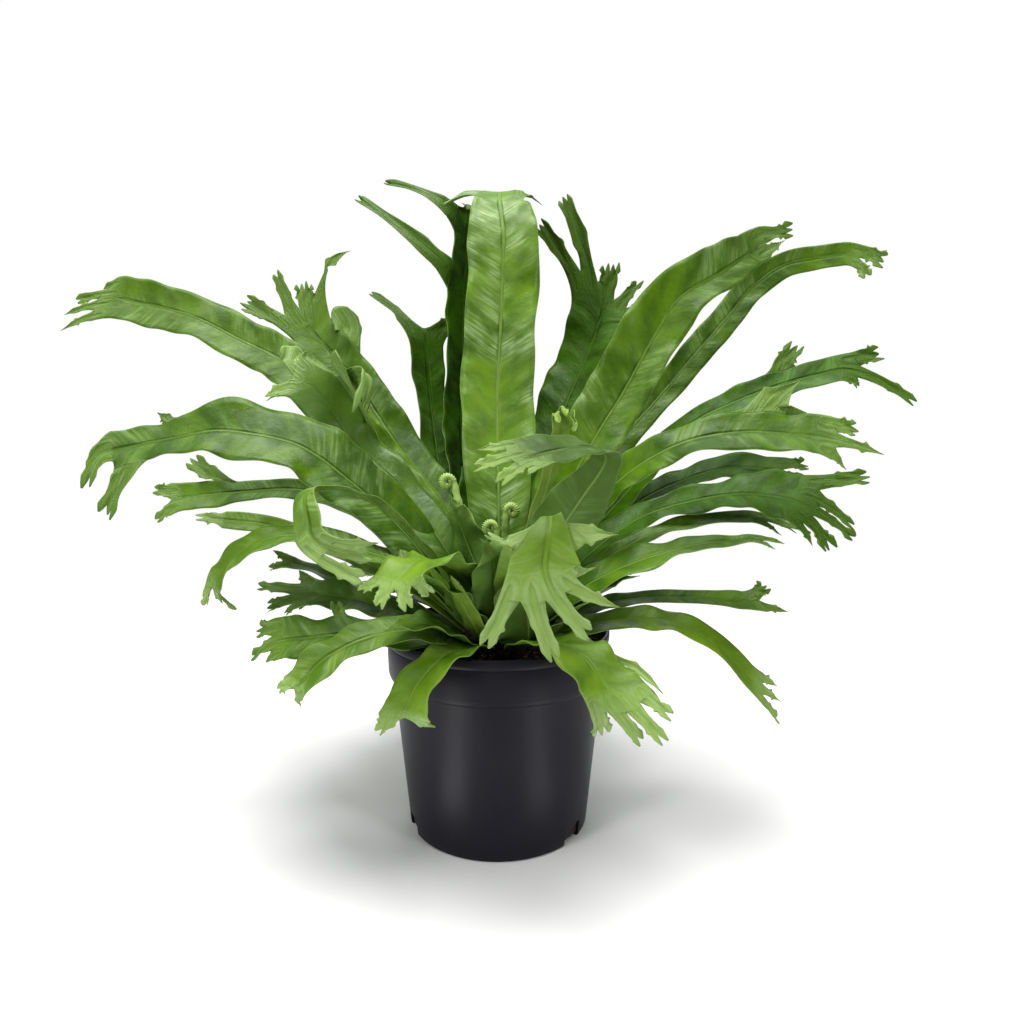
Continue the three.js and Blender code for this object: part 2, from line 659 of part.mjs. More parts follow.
function toGeometry(solid) {
  const mesh = solid.getMesh();
  const geometry = new THREE.BufferGeometry();
  geometry.setAttribute("position", new THREE.Float32BufferAttribute(mesh.vertProperties, 3));
  geometry.setIndex(new THREE.Uint32BufferAttribute(mesh.triVerts, 1));
  geometry.computeVertexNormals();
  return geometry;
}

function makePot(wasm) {
  let pot = toSolid(wasm, turned(potProfile(), POT_SIDES));
  for (const angle of NOTCH_ANGLES) {
    const notch = new THREE.BoxGeometry(NOTCH_WIDTH, NOTCH_DEPTH, NOTCH_HEIGHT * 2);
    notch.translate(0, -FOOT_RADIUS, 0);
    notch.rotateZ(degrees(angle));
    pot = pot.subtract(toSolid(wasm, notch));
  }
  return solidMesh("pot", toGeometry(pot), 0x29282d, 0.45);
}

// Soil and crown

function soilHeight(radius, angle) {
  const dish = SOIL_DISH * (radius / RIM_RADIUS) ** 2;
  const lumps = Math.sin(radius * 0.55 + 3 * angle) * Math.cos(5 * angle - radius * 0.3);
  return SOIL_LEVEL + dish + SOIL_BUMP * lumps;
}

function makeSoil(wasm) {
  const foot = FLOOR + SEAT_GAP;
  const edge = RIM_RADIUS - 2.8 - SEAT_GAP;
  const profile = [
    [0, foot], [FOOT_RADIUS - WALL - 0.2, foot],
    [WALL_RADIUS_AT_BAND - WALL - 0.4, BAND_HEIGHT - 1.7],
    [edge, BAND_HEIGHT + 4.3], [edge, SOIL_LEVEL], [62, SOIL_LEVEL], [52, SOIL_LEVEL],
    [43, SOIL_LEVEL], [35, SOIL_LEVEL], [20, SOIL_LEVEL], [0, SOIL_LEVEL],
  ];
  const geometry = turned(profile.map(([r, z]) => new THREE.Vector2(r, z)), POT_SIDES);
  const position = geometry.getAttribute("position");
  for (let k = 0; k < position.count; k += 1) {
    const radius = Math.hypot(position.getX(k), position.getY(k));
    const angle = Math.atan2(position.getY(k), position.getX(k));
    if (position.getZ(k) > SOIL_LEVEL - 0.1 && radius > 1) {
      position.setZ(k, soilHeight(radius, angle));
    }
  }
  const seatRadius = Math.sqrt(CROWN_RADIUS ** 2 - (CROWN_SEAT - CROWN_CENTRE.z) ** 2);
  const seat = [[0, -SEAT_GAP], [seatRadius + SEAT_GAP, -SEAT_GAP], [seatRadius + SEAT_GAP, 20],
    [0, 20]];
  const hole = turned(seat.map(([r, z]) => new THREE.Vector2(r, z + CROWN_SEAT)), 24);
  const soil = toSolid(wasm, geometry).subtract(toSolid(wasm, hole));
  return solidMesh("soil", toGeometry(soil), 0x33261c, 0.95);
}

function makeCrown() {
  const low = Math.asin((CROWN_SEAT - CROWN_CENTRE.z) / CROWN_RADIUS);
  const profile = [new THREE.Vector2(0, CROWN_SEAT)];
  const steps = 6;
  for (let k = 0; k <= steps; k += 1) {
    const angle = low + ((Math.PI / 2 - low) * k) / steps;
    const radius = k < steps ? CROWN_RADIUS * Math.cos(angle) : 0;
    profile.push(new THREE.Vector2(radius, CROWN_CENTRE.z + CROWN_RADIUS * Math.sin(angle)));
  }
  return solidMesh("crown", turned(profile, 24), 0x4a3a26, 0.9);
}

const wasm = await Module();
wasm.setup();

const fern = new THREE.Group();
fern.add(makePot(wasm), makeSoil(wasm), makeCrown());
[...FRONDS, ...BACK_FRONDS.map(backFrond)].forEach((frond, index) => {
  fern.add(makeFrond({ ...frond, seed: index * 1.7 }));
});
fern.add(...CROZIERS.map(makeCrozier));

export default fern;
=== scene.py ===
"""Potted crested bird's nest fern: strap fronds with forked, frayed crests in a nursery pot."""
import math
from dataclasses import dataclass
import bpy
import numpy as np
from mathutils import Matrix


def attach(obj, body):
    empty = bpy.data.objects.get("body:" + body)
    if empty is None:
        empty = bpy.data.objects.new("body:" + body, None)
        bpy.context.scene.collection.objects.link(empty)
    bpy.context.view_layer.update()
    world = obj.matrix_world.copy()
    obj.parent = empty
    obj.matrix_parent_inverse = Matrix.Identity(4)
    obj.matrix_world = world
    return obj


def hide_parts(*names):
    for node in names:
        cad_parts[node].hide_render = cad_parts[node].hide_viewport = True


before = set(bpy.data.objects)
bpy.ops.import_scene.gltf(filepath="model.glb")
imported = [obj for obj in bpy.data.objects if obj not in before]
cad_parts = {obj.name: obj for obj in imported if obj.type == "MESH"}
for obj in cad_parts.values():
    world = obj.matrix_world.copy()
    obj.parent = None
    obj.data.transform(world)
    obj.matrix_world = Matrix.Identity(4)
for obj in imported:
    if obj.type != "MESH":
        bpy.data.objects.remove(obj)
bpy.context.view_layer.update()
MM = 0.001

# Camera
CAMERA_PLACE = (9.4, -480, 266)
CAMERA_PITCH = 6.4
LENS = 25.3
SENSOR = 36

# Studio light: the room's strength, and each lamp's name, place, aim, size and power in watts
ROOM_LIGHT = 0.13
LAMPS = [
    ("top", (-0.1, -0.08, 2.3), (0, 0, 0), (1.7, 1.7), 92),
    ("key_left", (-1.3, -1.2, 0.62), (0, 0, 0.25), (0.36, 1.2), 17),
    ("rim_behind", (0.3, 1.9, 1.1), (0, 0, 0.25), (1.2, 0.8), 10),
    ("fill_right", (1.3, -1.1, 0.6), (0, 0, 0.25), (0.36, 1.2), 11),
]
# Strips of light on the floor, for the pot's two bright bands: degrees from the front, and power
STRIPS = ((-39, 0.24), (37, 0.15))
STRIP_REACH = 0.27
STRIP_HEIGHT = 0.001
STRIP_SIZE = (0.045, 0.33)

# Studio floor, in metres: half its side, how far it lies below the pot, and where it fades out
FLOOR_REACH = 6
FLOOR_DROP = 0.0002
FLOOR_FADE = (0.3, 0.9)
FLOOR_GREYS = (0.8, 0.82)

# Pot, in millimetres
POT_HEIGHT = 133.5
RIM_RADIUS = 75.4
FOOT_RADIUS = 61
BAND_HEIGHT = 104
WALL_RADIUS_AT_BAND = 71
BAND_STEP = 2.6
WALL = 1.7
RIM_WALL = 2.8
LIP_HEIGHT = 6
POT_FLOOR = 2
FOOT_EDGE = 1.6
SHARP_EDGE = 38
POT_SIDES = 144
NOTCH_ANGLES = (-67.5, 52.5, 172.5)
NOTCH_WIDTH = 16
NOTCH_HEIGHT = 11.5
NOTCH_DEPTH = 15

# Soil and crown, in millimetres; chips and scales with the least and the most of each size
SEAT_GAP = 0.3
SOIL_LEVEL = 121
SOIL_DISH = 2.5
SOIL_SIDES = 120
BARK_CHIPS = 900
CHIP_SIZES = ((2.5, 8), (1.6, 4.2), (0.7, 2))
CROWN_CENTRE = np.array([0, 0, 112.0])
CROWN_RADIUS = 28
CROWN_SEAT = 118
CROWN_SCALES = 420
SCALE_LENGTH = (3.5, 8)
SCALE_WIDTH = (0.5, 1.1)
CROWN_RINGS = 12

# Fronds, in millimetres: the strap's rows, its section, its waves and its relief
RIBS = 14
ROWS_PER_RIB = 9
STALK_WIDTH = 6
STALK_HALF_THICKNESS = 1.4
BLADE_HALF_THICKNESS = 0.28
RIDGE_HEIGHT = 0.45
RIDGE_WIDTH = 1.1
WAVES = 4
WAVE_HEIGHT = 0.1
FOLD = 0.16
RIPPLE_PITCH = 27
RIPPLE_HEIGHT = 1.2
PLEAT_PITCHES = (2.3, 4.1)
PLEAT_HEIGHT = 0.11
CROWDING = 0.45
RIGHT_WAVE_SHIFT = 2.1
RIGHT_RIPPLE_SHIFT = 0.37
LEFT_PLEAT_SHIFT = 9
CURVE_STEPS = 40
SEED_STEP = 1.7

# Crests: points between the margins for each number of fingers, the web that joins the fingers
# and the share of each finger that it takes, and the fingers with their teeth
COLUMNS = {1: 16, 2: 16, 3: 18, 4: 16, 5: 20}
TOOTH_WIDTH = 3.4
FINGER_TAPER = 0.4
WEB = 0.5
WEB_ROWS = 7
FINGER_ROWS = 16
FINGER_SHARES = (0, 0.2, 0.42, 0.82, 1)
TOOTH_DEPTH = 7
SPUR_LENGTH = 0.11
ROOM = 0.85
UP = np.array([0, 0, 1.0])


@dataclass
class Frond:
    """What a frond is made from; lengths are in millimetres.

    name: its CAD node without frond_, or inner_ and more for a blade that has no node.
    green: its green, from GREENS.
    width: the strap's width.
    palm: the width where the crest forks, as a share of the strap's.
    roll: how far it is turned about its midrib at the base and at the fork, in degrees.
    route: points of the midrib.
    fingers: the crest, each finger as its end, its number of teeth, 0 for a round end, and the
        knee that it bends at, if any.
    look: another green for its finish, one that paints light, shade or sheen on this frond.
    tint: lighter above 0, darker below.
    fold: how steeply the two halves fold up along the midrib.
    right: the right half's width as a share of the left one's.
    neck: the stretch of the midrib over which the strap widens or narrows to the palm.
    widths: further shares of the width, each at its place along the midrib.
    side: fingers of the margins, each as the rib where it starts, its margin, 1 left or -1 right,
        its end and teeth, the ribs that its root spans, and its knee, if any.
    seed: sets its waves, pleats and teeth apart from the others'.
    """
    name: str
    green: str
    width: float
    palm: float
    roll: tuple
    route: list
    fingers: list
    look: str = ""
    tint: float = 0
    fold: float = FOLD
    right: float = 1
    neck: tuple = (0.75, 1)
    widths: tuple = ((0, 1), (1, 1))
    side: tuple = ()
    seed: float = 0


FRONDS = [
    Frond("left_arch", "mid", 36, 1, (-35, -50),
          [(-42, 19, 196), (-82, 39, 241), (-120, 48, 283), (-158, 60, 316), (-192, 64, 333),
           (-229, 66, 351), (-272, 57, 361)],
          [(-311, 40, 336, 1), (-314, 46, 347, 1), (-308, 52, 358, 2), (-291, 62, 368, 2)],
          tint=0.12),
    Frond("left_fan", "mid", 36, 0.95, (-10, -40),
          [(-26, 27, 193), (-55, 48, 227), (-87, 72, 268), (-114, 88, 306), (-148, 100, 344)],
          [(-201, 92, 367, 4), (-177, 102, 393, 2), (-156, 108, 386, 4),
           (-119, 116, 410, 1, -153, 112, 400)], tint=-0.1,
          side=[(12, -1, -131, 104, 364, 0, 1.6)]),
    Frond("left_curl", "fresh", 30, 1.2, (-28, -62),
          [(-35, 6, 184), (-69, 24, 226), (-105, 32, 260), (-113, 30, 275), (-129, 26, 297)],
          [(-162, 16, 286, 2), (-144, 32, 326, 0, -145, 24, 311)], look="lit", neck=(0.6, 1),
          side=[(12, -1, -93, 0, 274, 4, 1.8, -76, 10, 320),
                (10, -1, -114, 22, 320, 0, 1.6, -105, 22, 306)]),
    Frond("left_broad", "mid", 48, 0.56, (-35, -50),
          [(-65, -4, 201), (-97, -8, 233), (-128, -11, 256), (-158, -15, 264), (-181, -18, 266),
           (-201, -22, 262), (-221, -26, 258), (-239, -30, 254)],
          [(-251, -43, 229, 2)], tint=-0.3, neck=(0.72, 0.9),
          side=[(13, 1, -239, -46, 212, 3), (12, -1, -219, -16, 279, 1, 0.6)]),
    Frond("left_fork", "mid", 17, 1.3, (-30, -50),
          [(-51, 11, 183), (-94, 24, 209), (-139, 28, 224), (-182, 25, 223), (-217, 18, 220)],
          [(-240, 16, 226, 2), (-236, 10, 204, 2)],
          side=[(12, -1, -219, 28, 249, 3, 0.9, -206, 26, 236)]),
    Frond("left_slim", "fresh", 15, 1, (-30, -40),
          [(-53, 7, 156), (-95, 14, 176), (-128, 14, 192), (-161, 9, 202), (-185, 3, 206)],
          [(-205, 0, 209, 2)]),
    Frond("left_hook", "fresh", 20, 1.6, (-35, -30),
          [(-47, -18, 173), (-86, -30, 191), (-115, -36, 201), (-141, -40, 200), (-163, -44, 187),
           (-171, -45, 176)],
          [(-180, -45, 157, 2), (-167, -49, 160, 1), (-158, -51, 158, 2)], tint=-0.5),
    Frond("front_left_curl", "fresh", 15, 1.15, (-10, 20),
          [(-48, -33, 195), (-79, -62, 229), (-103, -86, 232), (-98, -102, 214)],
          [(-62, -104, 200, 2), (-56, -114, 209, 1), (-63, -112, 188, 2)], tint=-0.2),
    Frond("front_left_low", "fresh", 34, 1, (-15, 0),
          [(-14, -40, 168), (-29, -68, 189), (-41, -94, 195), (-49, -108, 189)],
          [(-71, -110, 182, 2), (-60, -118, 174, 2), (-43, -122, 175, 2), (-31, -118, 182, 2)],
          tint=-0.1),
    Frond("left_low_back", "mid", 27, 1.2, (-25, -30),
          [(-46, -13, 139), (-75, -17, 151), (-100, -19, 158), (-118, -20, 160)],
          [(-134, -8, 176, 1), (-160, -20, 166, 2), (-150, -30, 153, 3), (-136, -34, 150, 2)]),
    Frond("left_thin", "mid", 13, 1.1, (-10, -10),
          [(-47, 10, 138), (-90, 14, 150), (-123, 13, 168), (-142, 10, 175)],
          [(-157, 12, 185, 1), (-158, 6, 172, 2)]),
    Frond("left_low", "mid", 27, 1.25, (-30, -30),
          [(-41, -30, 134), (-65, -47, 141), (-94, -54, 143), (-124, -58, 141)],
          [(-150, -46, 143, 3), (-152, -54, 127, 2), (-140, -58, 127, 1)],
          side=[(10, -1, -101, -40, 162, 2)]),
    Frond("left_low_front", "fresh", 24, 1.15, (-35, -30),
          [(-31, -41, 138), (-53, -59, 147), (-76, -72, 146), (-98, -80, 136), (-110, -84, 124)],
          [(-126, -82, 118, 2), (-110, -92, 113, 2)], tint=-0.1),
    Frond("front_left_drape", "fresh", 27, 1.3, (-5, 0),
          [(-16, -52, 135), (-32, -77, 135), (-44, -90, 124), (-48, -95, 114)],
          [(-66, -98, 99, 2), (-33, -101, 104, 2)], tint=0.3),
    Frond("front_star", "fresh", 20, 1, (0, 0),
          [(5, -44, 160), (14, -84, 203), (32, -112, 213), (29, -126, 224), (27, -140, 217),
           (25, -147, 205)],
          [(-5, -152, 163, 2), (30, -158, 160, 2), (48, -160, 171, 2), (62, -158, 185, 1),
           (50, -150, 203, 1)], tint=0.35,
          widths=((0, 1), (0.62, 0.75), (0.8, 0.35), (0.88, 0.7), (0.94, 1.15), (1, 1.7)),
          side=[(12, 1, 65, -138, 217, 1, 1.6), (12, -1, -7, -134, 220, 2, 1.6, 7, -139, 207)]),
    Frond("front_right_broad", "fresh", 36, 1.15, (5, 0),
          [(21, -47, 135), (38, -75, 144), (50, -95, 141), (59, -106, 130)],
          [(58, -110, 103, 3), (80, -118, 101, 2), (91, -120, 103, 2), (96, -116, 115, 2)],
          side=[(12, 1, 91, -112, 126, 1)]),
    Frond("right_low_arch", "fresh", 22, 1.1, (30, 30),
          [(41, -22, 135), (82, -30, 146), (111, -34, 145), (136, -38, 134), (158, -40, 112)],
          [(178, -42, 106, 1), (180, -42, 96, 1), (179, -44, 83, 2)]),
    Frond("right_low_thin", "mid", 15, 1.2, (20, 30),
          [(44, 3, 137), (85, 13, 148), (134, 15, 150), (171, 13, 148)],
          [(188, 14, 160, 3), (204, 8, 141, 1)]),
    Frond("right_mid_low", "mid", 30, 0.4, (40, 40),
          [(50, -38, 166), (82, -46, 185), (118, -50, 197), (150, -51, 201)],
          [(176, -52, 198, 1), (167, -55, 196, 1)], neck=(0.5, 0.95)),
    Frond("right_low_mid", "mid", 15, 1, (40, 40),
          [(44, -19, 165), (70, -19, 183), (99, -17, 199), (132, -15, 208), (161, -15, 210)],
          [(198, -15, 200, 2), (185, -19, 198, 1)]),
    # Its look paints the shade that this frond lies in
    Frond("right_crest_low", "mid", 27, 1.5, (30, 30),
          [(51, -3, 174), (95, 3, 207), (132, -9, 221), (160, -21, 226), (180, -29, 224)],
          [(235, -30, 238, 3), (219, -46, 207, 2), (219, -50, 199, 2), (202, -52, 194, 3),
           (191, -54, 195, 1)], look="deep", tint=0.1),
    Frond("right_curl", "deep", 24, 1.1, (10, 10),
          [(54, 31, 171), (100, 37, 214), (136, 36, 232), (162, 30, 240), (183, 18, 240)],
          [(213, 12, 243, 3), (209, 6, 234, 2)]),
    Frond("right_mid", "mid", 27, 1.1, (30, 45),
          [(47, -10, 192), (78, -25, 235), (112, -38, 258), (146, -45, 265), (186, -50, 263)],
          [(218, -48, 266, 3), (230, -54, 252, 1), (206, -58, 243, 1)], tint=-0.1,
          side=[(11, 1, 191, -30, 300, 1, 3)]),
    # Its look paints shade on the blade and light on the crest
    Frond("front_cross", "fresh", 34, 1, (-10, -50),
          [(23, -50, 183), (46, -82, 226), (58, -104, 250), (53, -122, 257), (40, -136, 258),
           (22, -146, 255)],
          [(-9, -144, 257, 1), (-10, -156, 249, 2), (2, -162, 242, 2), (15, -164, 246, 1)],
          look="hooded", widths=((0, 1), (0.55, 1), (0.7, 0.5), (0.85, 0.5), (1, 0.85))),
    Frond("right_big", "mid", 50, 1, (35, 55),
          [(42, 22, 214), (72, 34, 267), (87, 40, 290), (111, 45, 333), (129, 46, 360),
           (158, 46, 378), (176, 45, 390)],
          [(207, 40, 406, 3), (199, 38, 398, 1)], fold=0.3, right=0.8,
          widths=((0, 1), (0.78, 0.98), (0.9, 0.76), (0.97, 0.7), (1, 0.58))),
    Frond("right_big_back", "mid", 23, 0.75, (30, 50),
          [(48, 32, 196), (84, 58, 251), (118, 72, 288), (148, 78, 323), (174, 80, 353),
           (191, 80, 374), (212, 76, 389), (234, 70, 393), (252, 66, 395)],
          [(281, 56, 386, 3), (266, 52, 374, 2)]),
    # Its look paints the shade that this frond lies in
    Frond("right_up_mid", "mid", 22, 1.1, (20, 30),
          [(54, 19, 182), (89, 26, 221), (134, 27, 270), (164, 22, 286), (199, 17, 299),
           (225, 12, 306)],
          [(257, 6, 318, 3), (275, -4, 283, 2), (239, 0, 294, 2)], look="deep", tint=0.1,
          side=[(12, 1, 210, 32, 328, 3)]),
    Frond("back_right_fork", "deep", 46, 1.1, (0, 0),
          [(14, 32, 174), (31, 62, 229), (52, 92, 287), (72, 108, 332), (80, 111, 353)],
          [(28, 114, 433, 3), (49, 124, 456, 3), (89, 116, 402, 4), (113, 110, 387, 2),
           (115, 104, 371, 1)], tint=0.3),
    # Its look paints strong sheen on the blade
    Frond("centre", "fresh", 52, 0.95, (0, 0),
          [(0, 24, 217), (-1, 46, 292), (2, 58, 361), (3, 68, 411), (0, 86, 438), (0, 104, 450)],
          [(-15, 128, 452, 3), (11, 128, 452, 3)], look="silvery", tint=0.1,
          widths=((0, 1), (0.8, 1), (0.9, 0.9), (0.96, 0.62), (1, 0.5)),
          side=[(13, 1, -47, 86, 433, 2), (13, -1, 35, 106, 440, 1)]),
    Frond("centre_left", "deep", 34, 0.8, (10, 20),
          [(-18, 36, 180), (-29, 70, 259), (-29, 88, 336), (-27, 100, 399), (-25, 113, 437)],
          [(-30, 118, 447, 2)], side=[(11, 1, -113, 94, 446, 2), (13, 1, -94, 114, 462, 2)]),
    Frond("back_left_fork", "deep", 26, 1.1, (0, 0),
          [(-35, 50, 174), (-49, 88, 244), (-57, 110, 295), (-61, 118, 332)],
          [(-108, 128, 380, 2), (-35, 128, 359, 3)], tint=0.25),
    Frond("young_pale", "young", 13, 1.1, (0, 0),
          [(14, -18, 177), (29, -28, 223), (40, -34, 266)],
          [(38, -41, 271, 0, 34, -33, 284), (42, -42, 275, 0, 40, -33, 291),
           (47, -42, 273, 0, 48, -34, 287), (46, -42, 266, 0, 53, -38, 275)]),
]

# Short blades inside the nest, which hide the crown and stand for no solid of their own
INNER_BLADES = [
    Frond("inner_front", "deep", 40, 0.5, (0, 10),
          [(19, -40, 136), (18, -56, 165), (18, -62, 187)],
          [(18, -64, 198, 1)]),
    Frond("inner_twisted", "deep", 32, 0.9, (10, 50),
          [(1, -40, 147), (-1, -54, 174), (-1, -64, 192)],
          [(-10, -72, 206, 1)], tint=0.25),
    Frond("inner_left", "mid", 34, 0.6, (-10, -30),
          [(-17, -40, 147), (-30, -56, 171), (-42, -66, 181)],
          [(-53, -74, 181, 1)]),
    Frond("inner_pale", "young", 15, 0.7, (0, -20),
          [(-12, -48, 144), (-20, -62, 164), (-24, -68, 177)],
          [(-26, -72, 184, 1)]),
    Frond("inner_low_left", "mid", 30, 0.6, (-20, -20),
          [(-22, -44, 137), (-38, -62, 151), (-53, -74, 154)],
          [(-64, -80, 152, 1)]),
    Frond("inner_right", "mid", 34, 0.6, (20, 20),
          [(33, -30, 135), (54, -40, 159), (74, -44, 172)],
          [(88, -46, 178, 1)]),
    Frond("inner_cover", "mid", 30, 0.6, (-10, -20),
          [(-8, -20, 163), (-20, -8, 191), (-29, -2, 214)],
          [(-33, 0, 226, 1)]),
    Frond("inner_back", "deep", 36, 0.6, (0, 0),
          [(-8, 26, 170), (-14, 44, 210), (-18, 56, 240)],
          [(-18, 60, 250, 1)]),
]

# Fronds at the back: azimuth from +X and rise in degrees, reach and width in millimetres
BACK_FRONDS = [
    (56, 22, 150, 24), (70, 36, 175, 27), (82, 22, 160, 25), (95, 33, 185, 28),
    (109, 25, 165, 24), (125, 18, 160, 25), (141, 24, 150, 22), (157, 19, 135, 20),
]
BACK_SAG = 0.72
BACK_LIFT = 22
BACK_PALM = 1.3
BACK_SHARES = (0.35, 0.6, 0.8, 1)
BACK_FINGER_TURNS = (52, 18, -16, -48)
BACK_FINGER_LENGTH = 34

# Croziers, in millimetres: name, where the coil starts, the coil's and the stem's radius, and the
# side that it rolls to, 1 right or -1 left
CROZIERS = [
    ("crozier_left", (-31, 12, 232), 4.6, 2.9, -1),
    ("crozier_front", (-2, -15, 204), 3.9, 2.6, -1),
    ("crozier_middle", (6, -7, 214), 4.2, 2.7, 1),
]
CROZIER_TURNS = 1.15
CROZIER_SIDES = 14
CROZIER_STEPS = 90
CROZIER_STEM_STEPS = 40
CROZIER_SHRINK = 0.78

rng = np.random.default_rng(7)


def unit(vector):
    return vector / max(np.linalg.norm(vector), 1e-9)


def ease(low, high, value):
    share = np.clip((value - low) / (high - low), 0, 1)
    return share * share * (3 - 2 * share)


def lerp(one, other, share):
    return one + (other - one) * share


def draw(number):
    """A repeatable draw between -1 and 1 for a number."""
    value = math.sin(number * 127.1 + 11.7) * 43758.5453
    return 2 * (value - math.floor(value)) - 1


def square_to(vector, axis):
    """The unit direction of the part of a vector that is square to a unit axis."""
    return unit(vector - axis * np.dot(vector, axis))


def turned_about(vector, axis, angle):
    """A vector turned about a unit axis by an angle in degrees."""
    turn = math.radians(angle)
    return (vector * math.cos(turn) + np.cross(axis, vector) * math.sin(turn)
            + axis * np.dot(axis, vector) * (1 - math.cos(turn)))


def resampled(line, known, places):
    """Points at the given places of a line whose points lie at known places."""
    return np.stack([np.interp(places, known, line[:, k]) for k in range(3)], 1)


def add_object(name, data):
    item = bpy.data.objects.new(name, data)
    bpy.context.scene.collection.objects.link(item)
    return item


def new_piece(name, points, faces, slots, materials=(), of_face=None, marks=None):
    """A smooth piece from points in millimetres, which hides its CAD node, if any."""
    mesh = bpy.data.meshes.new(name)
    mesh.from_pydata((np.asarray(points) * MM).tolist(), [], faces)
    for material in materials:
        mesh.materials.append(material)
    if of_face is not None:
        mesh.polygons.foreach_set("material_index", of_face)
    for mark, values in (marks or {}).items():
        mesh.attributes.new(mark, "FLOAT", "POINT").data.foreach_set("value", values)
    mesh.shade_smooth()
    mesh.update()
    piece = add_object(name, mesh)
    node, slot = slots
    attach(piece, "root")
    if node:
        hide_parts(node)
    return piece


# Materials


class Value:
    """A number that varies over a surface, with arithmetic that adds the nodes it needs."""

    def __init__(self, finish, socket):
        self.finish = finish
        self.socket = socket

    def math(self, operation, *others, clamp=False):
        settings = {"operation": operation, "use_clamp": clamp}
        return self.finish.node("Math", settings, dict(enumerate((self, *others))))

    def __add__(self, other):
        return self.math("ADD", other)

    __radd__ = __add__

    def __sub__(self, other):
        return self.math("SUBTRACT", other)

    def __rsub__(self, other):
        return (self * -1) + other

    def __mul__(self, other):
        return self.math("MULTIPLY", other)

    __rmul__ = __mul__

    def clamped(self):
        return self.math("ADD", 0, clamp=True)

    def between(self, low, high, out_low=0, out_high=1):
        """0 to 1, or the given ends, as this value goes smoothly from low to high."""
        sockets = {"Value": self, "From Min": low, "From Max": high,
                   "To Min": out_low, "To Max": out_high}
        return self.finish.node("MapRange", {"interpolation_type": "SMOOTHSTEP"}, sockets)


class Finish:
    """A material and the nodes of its shader."""

    def __init__(self, name):
        self.material = bpy.data.materials.new(name)
        self.material.use_nodes = True
        self.tree = self.material.node_tree
        self.tree.nodes.clear()

    def node(self, kind, settings=None, sockets=None, output=0):
        node = self.tree.nodes.new("ShaderNode" + kind)
        for name, value in (settings or {}).items():
            if name == "stops":
                self.set_stops(node.color_ramp, value)
            else:
                setattr(node, name, value)
        for name, value in (sockets or {}).items():
            self.join(node.inputs[name], value)
        return Value(self, node.outputs[output])

    def join(self, socket, value):
        if isinstance(value, Value):
            self.tree.links.new(value.socket, socket)
        else:
            socket.default_value = value

    @staticmethod
    def set_stops(ramp, stops):
        while len(ramp.elements) < len(stops):
            ramp.elements.new(0.5)
        for element, (position, colour) in zip(ramp.elements, stops):
            element.position = position
            element.color = (*colour, 1)

    def vector(self, x, y, z):
        return self.node("CombineXYZ", None, {"X": x, "Y": y, "Z": z})

    def mark(self, name):
        """The value that a piece keeps at its points under that name."""
        return self.node("Attribute", {"attribute_name": name}, output="Fac")

    def place(self, scale=(1, 1, 1)):
        """Object coordinates in metres, stretched."""
        point = self.node("TexCoord", output="Object")
        sockets = {0: point, 1: scale}
        return self.node("VectorMath", {"operation": "MULTIPLY"}, sockets)

    def noise(self, place, scale, detail=3, rough=0.5):
        sockets = {"Vector": place, "Scale": scale, "Detail": detail, "Roughness": rough}
        return self.node("TexNoise", None, sockets)

    def mixed(self, share, one, other):
        """A colour between two colours."""
        sockets = {0: share, 6: one, 7: other}
        return self.node("Mix", {"data_type": "RGBA"}, sockets, output=2)

    def bump(self, height, distance):
        return self.node("Bump", None, {"Height": height, "Distance": distance})

    def surface(self, **sockets):
        """The material with a principled shader of those values."""
        named = {name.replace("_", " "): value for name, value in sockets.items()}
        shader = self.node("BsdfPrincipled", None, named)
        return self.shown(shader)

    def shown(self, shader):
        output = self.tree.nodes.new("ShaderNodeOutputMaterial")
        self.tree.links.new(shader.socket, output.inputs["Surface"])
        return self.material


def rgba(red, green, blue):
    """A colour from its eight-bit screen values."""
    shares = [value / 255 for value in (red, green, blue)]
    return (*[x / 12.92 if x <= 0.04045 else ((x + 0.055) / 1.055) ** 2.4 for x in shares], 1)


# Greens: screen values of the blade, its darker tone for random mottling and for painted shade,
# its crest, in some greens paler partly from painted light and sheen, and the light through it,
# then how strongly the upper face shines and how much painted sheen it shows as silver stripes
GREENS = {
    "deep": ((62, 104, 0), (36, 66, 0), (66, 98, 12), (58, 110, 4), 0.16, 0.1),
    "mid": ((84, 120, 10), (50, 84, 0), (92, 124, 38), (84, 132, 10), 0.22, 0.3),
    "fresh": ((110, 146, 20), (74, 110, 4), (136, 164, 84), (108, 156, 16), 0.34, 0.4),
    "young": ((134, 162, 54), (100, 134, 24), (130, 162, 62), (130, 170, 40), 0.3, 0.2),
    # Painted light, shade and sheen: a blade in painted shade under a crest in painted light, a
    # copy in painted light, and one with much painted sheen
    "hooded": ((64, 98, 8), (42, 70, 0), (124, 154, 68), (66, 112, 8), 0.25, 0.3),
    "lit": ((80, 116, 22), (54, 90, 6), (122, 154, 66), (104, 150, 20), 0.36, 0.4),
    "silvery": ((102, 140, 24), (68, 104, 8), (80, 116, 30), (100, 148, 16), 0.34, 1),
}
MIDRIB = (150, 176, 96)
# The pale colour of the painted sheen, in silver stripes
PAINTED_SHEEN = (164, 192, 138)
UNDERSIDE = (110, 140, 66)
UNDER_SHINE = 0.2
GLOW_SHARE = 0.1
# How much painted sheen the crest shows at most
CREST_SHEEN_MOST = 0.4
# Noise scales in waves to the metre, and how deep the relief of each face is in metres
BROAD_SCALE = 17
MOTTLE_SCALE = 90
GRAIN_SCALE = 300
UPPER_RELIEF = 0.0012
UNDER_RELIEF = 0.0007


